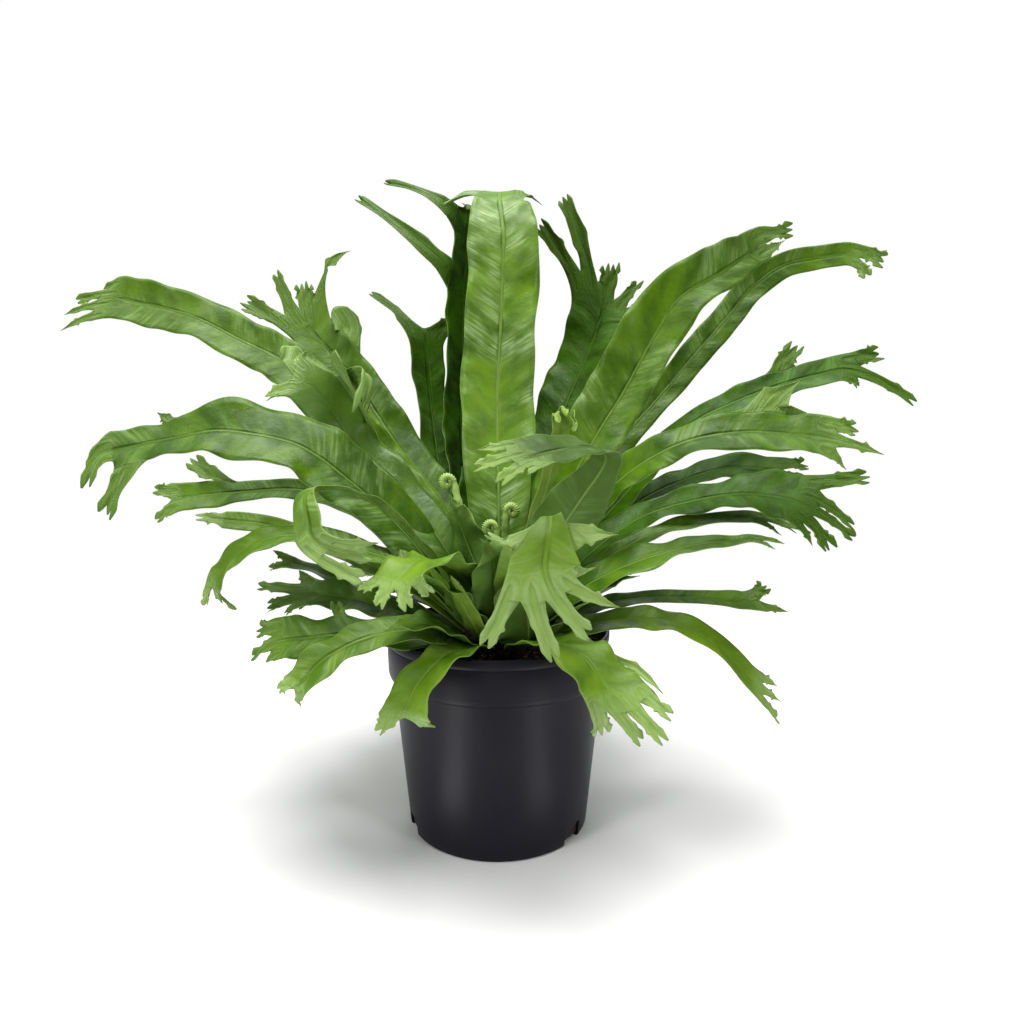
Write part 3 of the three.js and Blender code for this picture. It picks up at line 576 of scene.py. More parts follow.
def leaf_finish(green, upper):
    """Glossy leaf: uneven bands that slant out from the midrib, in relief and in painted shade,
    painted sheen, paler margins and a crest that is paler partly from painted light and sheen.
    """
    blade, shade, crest, glow = (rgba(*tone) for tone in GREENS[green][:4])
    shine, sheen_amount = GREENS[green][4:]
    pale, sheen_colour = rgba(*MIDRIB), rgba(*PAINTED_SHEEN)
    finish = Finish(f"leaf_{green}_{'upper' if upper else 'under'}")
    rib, margin, along, tip, tone, side = (
        finish.mark(name) for name in ("rib", "margin", "along", "crest", "tone", "side"))
    place = finish.place()
    slant = along - rib * 0.6
    bands = finish.noise(finish.vector(slant * 0.075, rib * 0.05, side * 3 + tone * 9), 1, 2, 0.45)
    veins = finish.noise(finish.vector(slant * 0.5, rib * 0.04, side * 2 + tone * 5), 1, 3, 0.55)
    fan = finish.noise(finish.vector(rib * 0.8, along * 0.05, tone * 7), 1, 2, 0.5)
    fine = finish.noise(finish.vector(rib * 2.4, along * 0.06, tone * 3), 1, 2, 0.6)
    broad = finish.noise(place, BROAD_SCALE, 2, 0.5)
    mottle = finish.noise(place, MOTTLE_SCALE, 4, 0.6)
    grain = finish.noise(place, GRAIN_SCALE, 3, 0.6)
    calm = broad.between(0.42, 0.6, 0.15, 1)
    strap = rib.between(0.4, 2.5) * (1 - tip.between(0.6, 0.95) * 0.6)
    fork = tip.between(0.6, 0.85)

    # Colour: painted shade in bands across the pleats and towards the foot, with random mottling,
    # a crest paler partly from painted light and sheen, painted sheen in silver stripes,
    # a paler midrib and paler margins
    deep = bands * 2.5 + broad * 1.3 + mottle * 0.5 + grain * 0.4 - tone - 1.86
    # Painted shade: darker towards the foot, deep in the nest
    deep = deep + (1 - along.between(15, 110)) * 0.45
    colour = finish.mixed(deep.clamped(), blade, shade)
    colour = finish.mixed(tip.between(0.5, 1.1) * 0.85, colour, crest)
    # Painted sheen in silver stripes along the strap, fading towards the crest
    sheen = veins.between(0.36, 0.72) * strap * broad.between(0.42, 0.6)
    sheen = sheen * bands.between(0.62, 0.36) * tip.between(1.1, 0.6)
    colour = finish.mixed(sheen * sheen_amount, colour, sheen_colour)
    # Painted sheen on the crest's fingers
    crest_sheen = fan.between(0.46, 0.66) * 0.6 + fine.between(0.5, 0.7) * 0.4
    colour = finish.mixed(crest_sheen * fork * min(sheen_amount, CREST_SHEEN_MOST), colour, sheen_colour)
    line = (1 - rib.between(0.1, 0.75)) * (1 - tip.between(0.38, 0.56))
    colour = finish.mixed(line * (0.3 if upper else 0.6), colour, pale)
    colour = finish.mixed((1 - margin.between(0.05, 0.5)) * 0.3, colour, pale)
    if not upper:
        colour = finish.mixed(0.3, colour, rgba(*UNDERSIDE))

    # Relief: bands, veins, the combed crest and a ridge on the midrib
    height = bands * strap * (calm * 1.7 + 0.3) + veins * strap * calm * 0.16 + mottle * 0.34
    height = height + fan * fork * 0.6 + grain * 0.22
    height = height + (1 - rib.between(0.3, 1.2)) * (1 - tip.between(0.5, 0.62)) * 0.3
    normal = finish.bump(height, UPPER_RELIEF if upper else UNDER_RELIEF)

    gloss = (0.38, 0.62, 0.34, 0.56) if upper else (0.3, 0.7, 0.5, 0.64)
    rough = (broad * 0.5 + mottle * 0.5).between(*gloss) + tip.between(0.4, 0.6) * 0.1
    shader = finish.node("BsdfPrincipled", None, {
        "Base Color": colour, "Roughness": rough, "Normal": normal,
        "Specular IOR Level": shine if upper else UNDER_SHINE})
    through = finish.node("BsdfTranslucent", None, {"Color": glow, "Normal": normal})
    return finish.shown(finish.node("MixShader", None, {0: GLOW_SHARE, 1: shader, 2: through}))


def stem_finish():
    """Pale green young stem with fine brown hairs."""
    finish = Finish("young_stem")
    place = finish.place()
    hairs = finish.noise(finish.place((1, 1, 0.25)), 900, 3, 0.7)
    mottle = finish.noise(place, 180, 3)
    colour = finish.mixed(mottle, rgba(138, 172, 74), rgba(172, 196, 112))
    colour = finish.mixed(hairs.between(0.62, 0.75) * 0.55, colour, rgba(104, 84, 48))
    normal = finish.bump(hairs, 0.0004)
    return finish.surface(Base_Color=colour, Roughness=hairs.between(0.3, 0.7, 0.42, 0.6),
                          Normal=normal)


def pot_finish():
    """Charcoal moulded plastic, semi-matte, with a faint grain."""
    finish = Finish("pot_plastic")
    place = finish.place()
    grain = finish.noise(place, 1400, 3, 0.6)
    cloud = finish.noise(place, 22, 3, 0.5)
    rings = finish.noise(finish.place((0.2, 0.2, 1)), 420, 2)
    colour = finish.mixed(cloud, rgba(19, 18, 26), rgba(25, 24, 32))
    colour = finish.mixed(grain.between(0.55, 0.8) * 0.25, colour, rgba(34, 33, 38))
    rough = grain.between(0.3, 0.7, 0.34, 0.42) + cloud * 0.05
    normal = finish.bump(grain * 0.7 + rings * 0.6, 0.00006)
    return finish.surface(Base_Color=colour, Roughness=rough, Normal=normal,
                          Specular_IOR_Level=0.12)


def bark_finish():
    """Damp composted bark: dark brown to black, with reddish chips."""
    finish = Finish("bark_soil")
    chip = finish.mark("chip")
    grain = finish.noise(finish.place((1, 1, 3)), 420, 4, 0.7)
    colour = finish.node("ValToRGB", {"stops": [
        (0.0, rgba(24, 18, 14)[:3]), (0.35, rgba(52, 36, 26)[:3]),
        (0.7, rgba(88, 56, 36)[:3]), (1.0, rgba(128, 92, 62)[:3])]}, {"Fac": chip})
    colour = finish.mixed(grain.between(0.35, 0.7) * 0.6, colour, rgba(22, 16, 12))
    normal = finish.bump(grain, 0.0006)
    return finish.surface(Base_Color=colour, Roughness=grain.between(0.2, 0.8, 0.7, 0.95),
                          Normal=normal)


# Leaves


def route_points(route, steps):
    """Points at equal distances on a centripetal curve through a route."""
    route = [np.array(point, float) for point in route]
    last = len(route) - 1
    line = []
    for index in range(last):
        one, two = route[index], route[index + 1]
        before = route[index - 1] if index else 2 * one - two
        after = route[index + 2] if index + 2 <= last else 2 * two - one
        gaps = [math.sqrt(np.linalg.norm(b - a)) for a, b in
                ((before, one), (one, two), (two, after))]
        out = ((one - before) / gaps[0] - (two - before) / (gaps[0] + gaps[1])
               + (two - one) / gaps[1]) * gaps[1]
        into = ((two - one) / gaps[1] - (after - one) / (gaps[1] + gaps[2])
                + (after - two) / gaps[2]) * gaps[1]
        share = np.linspace(0, 1, CURVE_STEPS, endpoint=False)[:, None]
        line.append(one + out * share + (3 * (two - one) - 2 * out - into) * share ** 2
                    + (2 * (one - two) + out + into) * share ** 3)
    line = np.vstack(line + [route[-1][None]])
    reach = np.append(0, np.cumsum(np.linalg.norm(np.diff(line, axis=0), axis=1)))
    wanted = np.linspace(0, reach[-1], steps + 1)
    return resampled(line, reach, wanted), reach[-1]


def trace_spine(route, roll, steps):
    """Points along the route with the blade's heading, left side and upper face there."""
    points, length = route_points(route, steps)
    headings = np.gradient(points, axis=0)
    stations = []
    side = None
    for index, point in enumerate(points):
        heading = unit(headings[index])
        side = np.cross(UP, heading) if side is None else side
        side = square_to(side, heading)
        left = turned_about(side, heading, lerp(roll[0], roll[1], index / steps))
        stations.append((point, heading, left, np.cross(heading, left)))
    return stations, length


class Leaf:
    """The middle surface of a leaf, row by row, with what its finish needs at each point."""

    def __init__(self):
        self.points = []
        self.marks = {"rib": [], "margin": [], "along": [], "crest": [], "side": [], "half": []}
        self.triangles = []

    def add(self, point, **marks):
        self.points.append(point)
        for mark, value in marks.items():
            self.marks[mark].append(value)
        return len(self.points) - 1

    def stitch(self, near, far):
        """Triangles between two rows that run from the left margin to the right one."""
        i = j = 0
        while i < len(near) - 1 or j < len(far) - 1:
            near_share = (i + 1) / max(len(near) - 1, 1)
            far_share = (j + 1) / max(len(far) - 1, 1)
            if j == len(far) - 1 or (i < len(near) - 1 and near_share <= far_share):
                self.triangles.append((near[i], near[i + 1], far[j]))
                i += 1
            else:
                self.triangles.append((near[i], far[j + 1], far[j]))
                j += 1

    def solid(self):
        """Points, faces and the side of each face, for both faces and the edge of the leaf."""
        points = np.array(self.points)
        faces = np.array(self.triangles)
        corners = points[faces]
        normal = np.cross(corners[:, 1] - corners[:, 0], corners[:, 2] - corners[:, 0])
        normals = np.zeros_like(points)
        for k in range(3):
            np.add.at(normals, faces[:, k], normal)
        normals /= np.maximum(np.linalg.norm(normals, axis=1, keepdims=True), 1e-9)
        shift = normals * np.array(self.marks["half"])[:, None]
        count = len(points)
        edges = dict.fromkeys(edge for a, b, c in self.triangles
                              for edge in ((a, b), (b, c), (c, a)))
        rim = [(a, b) for a, b in edges if (b, a) not in edges]
        under = faces[:, ::-1] + count
        sides = [(a, a + count, b + count, b) for a, b in rim]
        every = faces.tolist() + under.tolist() + sides
        kinds = [0] * len(faces) + [1] * (len(under) + len(sides))
        return np.vstack([points + shift, points - shift]), every, kinds


def strap_width(frond, share):
    """The strap's width at a share of its length: narrow at the stalk, with the frond's palm."""
    blade = ease(-0.14, 0.42, share) ** 0.75
    palm = 1 + (frond.palm - 1) * ease(*frond.neck, share)
    palm *= np.interp(share, *zip(*frond.widths))
    return (STALK_WIDTH + (frond.width - STALK_WIDTH) * blade) * palm


def half_thickness(share, across, rib):
    """Half the blade's thickness: more in the stalk and on the midrib."""
    stalk = 1 - ease(0, 0.4, share)
    swelling = (STALK_HALF_THICKNESS - BLADE_HALF_THICKNESS) * stalk
    ridge = RIDGE_HEIGHT * math.exp(-((rib / RIDGE_WIDTH) ** 2)) * (1 - 0.6 * share)
    return BLADE_HALF_THICKNESS + swelling * (1 - 0.5 * abs(across)) + ridge


def strap_row(leaf, frond, spine, share, count, length):
    """One row across the strap: folded up along the midrib, ribbed and waved."""
    point, _, left, face = spine[round(share * (len(spine) - 1))]
    half = strap_width(frond, share) / 2
    along = share * length
    seed = frond.seed
    full = ease(0.12, 0.45, share)
    crowd = 1 + CROWDING * (1 - ease(0.8, 1, share))
    row = []
    for k in range(count):
        spread = 1 - 2 * k / (count - 1)
        across = math.copysign(abs(spread) ** crowd, spread)
        on_left = across > 0
        phase = seed + (0 if on_left else RIGHT_WAVE_SHIFT)
        wave = math.sin(2 * math.pi * WAVES * share + phase) * WAVE_HEIGHT * across ** 2
        lift = (frond.fold * abs(across) ** 1.15 + wave * full) * half
        turns = along / RIPPLE_PITCH + seed + (0 if on_left else RIGHT_RIPPLE_SHIFT)
        ripple = math.sin(2 * math.pi * turns + 1.3 * math.sin(along / 19 + seed))
        lift += ripple * abs(across) ** 3 * min(half * 0.07, RIPPLE_HEIGHT) * full
        rib = abs(across) * half
        slant = along - 0.55 * rib + (LEFT_PLEAT_SHIFT if on_left else 0)
        pleat = math.sin(slant / PLEAT_PITCHES[0] + seed * 3 + 2 * math.sin(slant / 21 + seed))
        pleat += math.sin(slant / PLEAT_PITCHES[1] + seed * 5)
        pleat *= max(0, math.sin(slant / 17 + seed * 7) + 0.25)  # calm stretches have none
        pleat *= PLEAT_HEIGHT
        lift += pleat * full * ease(0.05, 0.4, abs(across)) * (1.15 - abs(across))
        wander = 0.028 * math.sin(along / 8.5 + phase * 2) + 0.03 * math.sin(along / 17 + phase)
        out = across * half * (1 + wander * full * across ** 2)
        out *= 1 if across >= 0 else frond.right
        row.append(leaf.add(
            point + left * out + face * lift, rib=rib, margin=half - rib, along=along,
            crest=share * 0.6, side=float(np.sign(across)),
            half=half_thickness(share, across, rib)))
    return row


def bezier(curve, share):
    start, knee, end = curve
    return start * (1 - share) ** 2 + knee * (2 * share * (1 - share)) + end * share ** 2


def tangent(curve, share):
    start, knee, end = curve
    return unit((knee - start) * (1 - share) + (end - knee) * share)


def finger_curve(start, heading, finger):
    """A finger's midline: it leaves along the heading, or bends at its own knee."""
    end = np.array(finger[:3], float)
    if len(finger) > 4:
        return start, np.array(finger[4:7], float), end
    return start, start + heading * (np.linalg.norm(end - start) * 0.35), end


def middle_of(leaf, row):
    return (leaf.points[row[0]] + leaf.points[row[-1]]) / 2


def room_at(curve, neighbours, share):
    """How wide a finger may be there without touching the fingers beside it."""
    point = bezier(curve, share)
    gaps = [np.linalg.norm(bezier(other, k / 10) - point) for other in neighbours
            for k in range(11)]
    return min(gaps, default=1e9) * ROOM


def comb_row(teeth, columns, depth, seed):
    """How far each column of a finger reaches: teeth, or one round end where there are none."""
    row = []
    for k in range(columns + 1):
        if not teeth:
            row.append(1 - depth * (1 - math.sqrt(max(0, 1 - (1 - 2 * k / columns) ** 2))))
            continue
        at = teeth * k / columns
        tooth = min(int(at), teeth - 1)
        peak = 1 - abs(2 * (at - tooth) - 1) ** 1.4
        tall = 0.72 + 0.28 * draw(seed * 3.1 + tooth)
        row.append(1 - depth * (1 - peak * tall))
    return row


def grow_finger(leaf, root, curve, teeth, seed, neighbours, along):
    """One finger of the crest, from a row that is there to its toothed or round end."""
    base = np.array([leaf.points[index] for index in root])
    side = base[0] - base[-1]
    root_width = np.linalg.norm(side)
    side = side / max(root_width, 1e-9)
    reach = np.linalg.norm(curve[2] - curve[0])
    wanted = TOOTH_WIDTH * teeth + 0.8 if teeth else root_width * 0.9
    end_width = min(wanted, root_width * 1.3, room_at(curve, neighbours, 1) * 1.1)
    widths = [root_width]
    for share in FINGER_SHARES[1:4]:
        wide = lerp(root_width, end_width * 0.9, share ** FINGER_TAPER)
        widths.append(min(wide, room_at(curve, neighbours, share)) if share > 0.3 else wide)
    widths.append(min(1.2, end_width) if teeth == 1 else end_width * 1.2 if teeth else end_width)
    columns = max(teeth * 5, 6) if teeth else 10
    depth = min(TOOTH_DEPTH / reach, 0.34) if teeth else min(end_width / 2 / reach, 0.6)
    combs = comb_row(teeth, columns, depth, seed)
    spurs = [0.5 + 0.2 * draw(seed * 5.3 + k) for k in range(2)]
    spur_height = [1.2 + 1.2 * draw(seed * 7.9 + k) for k in range(2)]
    last = root
    straight = side
    known = np.linspace(0, 1, len(root))
    for step in range(FINGER_ROWS + 1):
        share = step / FINGER_ROWS
        heading = tangent(curve, share)
        straight = square_to(straight, heading)
        face = np.cross(heading, straight)
        width = np.interp(share, FINGER_SHARES, widths)
        width *= 1 + 0.07 * math.sin(share * 9 + seed) * ease(0.1, 0.4, share)
        here = len(root) - 1 if share < 0.3 else columns
        row_points = []
        for k in range(here + 1):
            across = 1 - 2 * k / here
            comb = np.interp(k / here, np.linspace(0, 1, columns + 1), combs)
            reached = share * lerp(1, comb, ease(0.2, 1, share))
            cup = 0.16 * width * (across ** 2 - 0.4) + 0.05 * width * math.sin(
                across * 5 + share * 6 + seed)
            spur = 0 if across > 0 else 1
            out = max(0, 1 - abs(share - spurs[spur]) / SPUR_LENGTH) * max(spur_height[spur], 0)
            out *= abs(across) ** 3 * math.copysign(1, across)
            row_points.append(bezier(curve, reached) + straight * (across * width / 2 + out)
                              + face * cup * ease(0, 0.5, share))
        if step == 0:
            offsets = base - np.array(row_points)
            continue
        drift = resampled(offsets, known, np.linspace(0, 1, here + 1))
        row = []
        for k, place in enumerate(np.array(row_points) + drift * (1 - ease(0, 0.5, share))):
            across = abs(1 - 2 * k / here)
            row.append(leaf.add(
                place, rib=across * width / 2 + share * 0.5, margin=(1 - across) * width / 2,
                along=along + share * reach, crest=0.8 + 0.7 * share,
                side=float(np.sign(here - 2 * k)),
                half=BLADE_HALF_THICKNESS * (1 - 0.25 * share)))
        leaf.stitch(last, row)
        last = row


def grow_web(leaf, row, heading, fingers, seed, along):
    """The part of the crest where the fingers are joined; returns what each finger needs."""
    if len(fingers) == 1:
        curve = finger_curve(middle_of(leaf, row), heading, fingers[0])
        return [(row, curve, fingers[0][3], seed, along)]
    count = len(fingers)
    columns = (len(row) - 1) // count
    base = np.array([leaf.points[index] for index in row])
    curves = []
    for index, finger in enumerate(fingers):
        start = (base[index * columns] + base[(index + 1) * columns]) / 2
        curves.append(finger_curve(start, heading, finger))
    ends = [(base[0] - base[columns]) / 2, (base[-1] - base[-1 - columns]) / 2]
    known = np.linspace(0, 1, 2 * count + 1)
    places = np.linspace(0, 1, len(row))

    def row_at(share):
        centres = [bezier(curve, share * WEB) for curve in curves]
        bounds = [centres[0] + ends[0]]
        bounds += [(one + two) / 2 for one, two in zip(centres, centres[1:])]
        bounds.append(centres[-1] + ends[1])
        line = [bounds[0]]
        for centre, bound in zip(centres, bounds[1:]):
            line += [centre, bound]
        return resampled(np.array(line), known, places)

    drift = base - row_at(0)
    last = row
    reach = np.mean([np.linalg.norm(curve[2] - curve[0]) for curve in curves])
    for step in range(1, WEB_ROWS + 1):
        share = step / WEB_ROWS
        spread = row_at(share) + drift * (1 - ease(0, 1, share))
        width = np.linalg.norm(spread[0] - spread[-1])
        new = []
        for k, place in enumerate(spread):
            strap = abs(1 - 2 * k / (len(row) - 1)) * width / 2
            within = abs((k / columns) % 1 - 0.5) * width / count
            new.append(leaf.add(
                place, rib=lerp(strap, within + 0.4, ease(0, 0.8, share)),
                margin=min(k, len(row) - 1 - k) * width / (len(row) - 1),
                along=along + share * reach * WEB, crest=0.6 + 0.3 * share,
                side=float(np.sign(len(row) - 1 - 2 * k)), half=BLADE_HALF_THICKNESS))
        leaf.stitch(last, new)
        last = new
    grown = []
    for index, finger in enumerate(fingers):
        root = last[index * columns:(index + 1) * columns + 1]
        _, knee, end = curves[index]
        curve = (middle_of(leaf, root), lerp(knee, end, WEB), end)
        grown.append((root, curve, finger[3], seed + index * 7, along + reach * WEB))
    return grown


def order_fingers(fingers, station):
    """Fingers from the left margin to the right one, as their ends lie round the fork."""
    point, heading, left, _ = station

    def turn(finger):
        away = np.array(finger[:3]) - point
        return math.atan2(np.dot(away, left), np.dot(away, heading))

    return sorted(fingers, key=turn, reverse=True)


def frond_route(route):
    """The route with its foot on the crown, ahead of its own first point."""
    first = np.array(route[0], float)
    foot = CROWN_CENTRE + unit(first - CROWN_CENTRE) * (CROWN_RADIUS + SEAT_GAP)
    return [foot, *route]


def make_frond(frond, finishes):
    """The strap, the crest's web and fingers, and the fingers of the margins, as one piece."""
    leaf = Leaf()
    steps = RIBS * ROWS_PER_RIB
    spine, length = trace_spine(frond_route(frond.route), frond.roll, steps)
    columns = COLUMNS[len(frond.fingers)]
    rows = []
    for step in range(steps + 1):
        rows.append(strap_row(leaf, frond, spine, step / steps, columns + 1, length))
        if step:
            leaf.stitch(rows[step - 1], rows[step])
    fingers = order_fingers(frond.fingers, spine[-1])
    grown = grow_web(leaf, rows[-1], spine[-1][1], fingers, frond.seed, length)
    for rib, margin, x, y, z, teeth, *more in frond.side:
        first = rib * ROWS_PER_RIB
        reach = round((more[0] if more else 1) * ROWS_PER_RIB)
        rim = [row[0] if margin > 0 else row[-1] for row in rows[first:first + reach + 1]]
        if margin < 0:
            rim.reverse()
        _, heading, left, _ = spine[first]
        aim = unit(heading + left * margin * 1.4)
        curve = finger_curve(middle_of(leaf, rim), aim, (x, y, z, teeth, *more[1:]))
        grown.append((rim, curve, teeth, frond.seed + rib, length * rib / RIBS))
    for root, curve, teeth, seed, along in grown:
        others = [other[1] for other in grown if other[1] is not curve]
        grow_finger(leaf, root, curve, teeth, seed, others, along)
    points, faces, kinds = leaf.solid()
    marks = {name: values * 2 for name, values in leaf.marks.items() if name != "half"}
    marks["tone"] = [frond.tint + 0.12 * draw(frond.seed * 2.3)] * len(points)
    node = None if frond.name.startswith("inner") else "frond_" + frond.name
    new_piece("leaf_" + frond.name, points, faces, (node, "leaf_" + frond.green),
              finishes[frond.look or frond.green], kinds, marks)


def back_frond(azimuth, rise, reach, width, index):
    """A frond at the back that rises, arches and sinks in its own upright plane."""
    angle = math.radians(azimuth)
    out = np.array([math.cos(angle), math.sin(angle), 0])
    slope = math.tan(math.radians(rise + BACK_LIFT))

    def point_at(share):
        height = reach * slope * (share - BACK_SAG * share ** 2)
        return CROWN_CENTRE + out * (reach * share) + UP * height

    end = point_at(1)
    heading = unit(end - point_at(0.95))
    fingers = []
    for order, turn in enumerate(BACK_FINGER_TURNS):
        aim = turned_about(heading, UP, turn)
        length = BACK_FINGER_LENGTH * (1 + 0.2 * draw(index * 5 + order))
        fingers.append((*(end + aim * length), 2 + order % 2))
    return Frond(f"back_{index + 1}", "mid" if index % 2 else "deep", width, BACK_PALM,
                 (0, 0), [point_at(share) for share in BACK_SHARES], fingers)


# Croziers


def make_crozier(name, top, coil, stem, hand, material):
    """A coiled young frond: a round stem whose top rolls up inwards, towards the front."""
    foot, crest = (np.array(point, float) for point in frond_route([top]))
    rise = unit(crest - foot)
    inward = unit(np.array([hand, -0.5, 0]) - rise * (rise[0] * hand - rise[1] * 0.5))
    line = [lerp(foot, crest, share) for share in np.linspace(0, 0.97, CROZIER_STEM_STEPS)]
    for k in range(CROZIER_STEPS + 1):
        turn = 2 * math.pi * CROZIER_TURNS * k / CROZIER_STEPS
        radius = coil * (1 - CROZIER_SHRINK * k / CROZIER_STEPS)
        line.append(crest + inward * (coil - radius * math.cos(turn))
                    + rise * (radius * math.sin(turn)))
    line = np.array(line)
    left = unit(np.cross(inward, rise))
    headings = np.gradient(line, axis=0)
    points, faces = [], []
    for index, point in enumerate(line):
        share = index / (len(line) - 1)
        face = np.cross(unit(headings[index]), left)
        lump = 0.1 + 0.14 * ease(0.3, 0.5, share)
        radius = stem * (1 - 0.3 * share) * (1 + lump * math.sin(index * 1.7))
        for k in range(CROZIER_SIDES):
            angle = 2 * math.pi * k / CROZIER_SIDES
            points.append(point + left * radius * math.cos(angle)
                          + face * radius * math.sin(angle))
    for index in range(len(line) - 1):
        for k in range(CROZIER_SIDES):
            a, b = index * CROZIER_SIDES + k, index * CROZIER_SIDES + (k + 1) % CROZIER_SIDES
            faces.append((a, b, b + CROZIER_SIDES, a + CROZIER_SIDES))
    faces.append(list(range(CROZIER_SIDES))[::-1])
    faces.append([len(points) - CROZIER_SIDES + k for k in range(CROZIER_SIDES)])
    new_piece("coiled_" + name, points, faces, (name, "leaf_young"), [material])


# Pot


def pot_profile():
    foot, band, rim = FOOT_RADIUS, WALL_RADIUS_AT_BAND, RIM_RADIUS
    lip = POT_HEIGHT - LIP_HEIGHT
    slope = (band - foot) / (BAND_HEIGHT - BAND_STEP)

    def wall(height):
        return foot + slope * (height - FOOT_EDGE), height

    outside = [
        (0, 1.2), (foot - 9, 1.2), (foot - 7.5, 0), (foot - 1.8, 0), (foot - 0.6, 0.4),
        (foot, FOOT_EDGE), wall(8), wall(40), wall(70), wall(BAND_HEIGHT - 1.6),
        (band + 0.2, BAND_HEIGHT - 0.8), (band + 1.4, BAND_HEIGHT - 0.3),
        (band + 2.2, BAND_HEIGHT + 0.3), (rim - 1.3, BAND_HEIGHT + BAND_STEP),
        (rim - 1, BAND_HEIGHT + 4), (rim - 0.6, lip - 1.2), (rim - 0.8, lip - 0.4),
        (rim - 0.5, lip + 0.2), (rim - 0.1, lip + 0.7), (rim, lip + 1.4),
        (rim, POT_HEIGHT - 1), (rim - 0.3, POT_HEIGHT - 0.3), (rim - 0.9, POT_HEIGHT),
    ]
    inside = [
        (rim - 1.8, POT_HEIGHT), (rim - 2.4, POT_HEIGHT - 0.6), (rim - RIM_WALL, BAND_HEIGHT + 4),
        (band - WALL, BAND_HEIGHT - 2), (foot - WALL + 0.2, POT_FLOOR), (0, POT_FLOOR),
    ]
    return outside + inside


def turned_mesh(profile, sides):
    """Points and faces of a closed turned body; the profile starts and ends on the axis."""
    angles = np.linspace(0, 2 * math.pi, sides, endpoint=False)
    points = [(0, 0, profile[0][1])]
    for radius, height in profile[1:-1]:
        points += [(radius * math.cos(a), radius * math.sin(a), height) for a in angles]
    points.append((0, 0, profile[-1][1]))
    faces = []
    rings = len(profile) - 2
    for k in range(sides):
        after = (k + 1) % sides
        faces.append((0, 1 + after, 1 + k))
        for ring in range(rings - 1):
            low, high = 1 + ring * sides, 1 + (ring + 1) * sides
            faces.append((low + k, low + after, high + after, high + k))
        top = 1 + (rings - 1) * sides
        faces.append((top + k, top + after, len(points) - 1))
    return points, faces


def cut_away(piece, size, place, turn):
    """Takes a block out of a piece."""
    bpy.ops.mesh.primitive_cube_add(size=1)
    block = bpy.context.object
    block.scale = [value * MM for value in size]
    block.location = [value * MM for value in place]
    block.rotation_euler = (0, 0, turn)
    cut = piece.modifiers.new("cut", "BOOLEAN")
    cut.object = block
    cut.operation = "DIFFERENCE"
    cut.solver = "EXACT"
    bpy.context.view_layer.update()
    seen = piece.evaluated_get(bpy.context.evaluated_depsgraph_get())
    cleared = bpy.data.meshes.new_from_object(seen)
    piece.modifiers.clear()
    piece.data = cleared
    bpy.data.objects.remove(block)


def make_pot():
    points, faces = turned_mesh(pot_profile(), POT_SIDES)
    pot = new_piece("nursery_pot", points, faces, ("pot", "pot"), [pot_finish()])
    for angle in NOTCH_ANGLES:
        turn = math.radians(angle)
        place = (FOOT_RADIUS * math.sin(turn), -FOOT_RADIUS * math.cos(turn), 0)
        cut_away(pot, (NOTCH_WIDTH, NOTCH_DEPTH, NOTCH_HEIGHT * 2), place, turn)
    pot.data.shade_smooth()
    sharp = pot.modifiers.new("edges", "EDGE_SPLIT")
    sharp.split_angle = math.radians(SHARP_EDGE)


# Soil and crown


def lumps(x, y):
    return (math.sin(x * 0.31 + 1) * math.cos(y * 0.27) + 0.6 * math.sin(x * 0.72 + y * 0.5)
            + 0.4 * math.cos(y * 1.1 - x * 0.4))


def soil_height(x, y):
    radius = math.hypot(x, y)
    return SOIL_LEVEL + SOIL_DISH * (radius / RIM_RADIUS) ** 2 + 0.7 * lumps(x, y)


def make_soil(material):
    foot = POT_FLOOR + SEAT_GAP
    edge = RIM_RADIUS - RIM_WALL - SEAT_GAP
    radii = [edge - 0.2, edge - 2, edge - 4, *np.linspace(edge - 7, 3, 22)]
    profile = [(0, foot), (FOOT_RADIUS - WALL - 0.2, foot),
               (WALL_RADIUS_AT_BAND - WALL - 0.4, BAND_HEIGHT - 1.7),
               (edge, BAND_HEIGHT + 4.3), (edge, SOIL_LEVEL - 1)]
    profile += [(radius, SOIL_LEVEL) for radius in radii] + [(0, SOIL_LEVEL)]
    points, faces = turned_mesh(profile, SOIL_SIDES)
    points = [(x, y, soil_height(x, y) if z >= SOIL_LEVEL else z) for x, y, z in points]
    shades = [0.12] * len(points)
    for _ in range(BARK_CHIPS):
        radius = math.sqrt(rng.uniform(0.1, 1)) * (edge - 5)
        angle = rng.uniform(0, 2 * math.pi)
        x, y = radius * math.cos(angle), radius * math.sin(angle)
        size = np.array([rng.uniform(*ends) for ends in CHIP_SIZES])
        shade = rng.uniform(0, 1) ** 1.6
        add_chip(points, faces, np.array([x, y, soil_height(x, y) + 0.5]), size)
        shades += [shade] * (len(points) - len(shades))
    new_piece("bark_soil", points, faces, ("soil", "soil"), [material], marks={"chip": shades})


def add_chip(points, faces, place, size):
    """An eight-cornered splinter of bark lying at random."""
    axes = np.linalg.qr(rng.normal(size=(3, 3)))[0]
    flat = unit(UP + rng.normal(size=3) * 0.35)
    long = unit(np.cross(flat, axes[0]))
    wide = np.cross(flat, long)
    start = len(points)
    for corner in range(8):
        signs = np.array([1 if corner & bit else -1 for bit in (1, 2, 4)])
        x, y, z = signs * size / 2 * rng.uniform(0.6, 1, 3)
        points.append(tuple(place + long * x + wide * y + flat * z))
    for quad in ((0, 2, 3, 1), (4, 5, 7, 6), (0, 1, 5, 4), (2, 6, 7, 3), (0, 4, 6, 2),
                 (1, 3, 7, 5)):
        faces.append(tuple(start + k for k in quad))


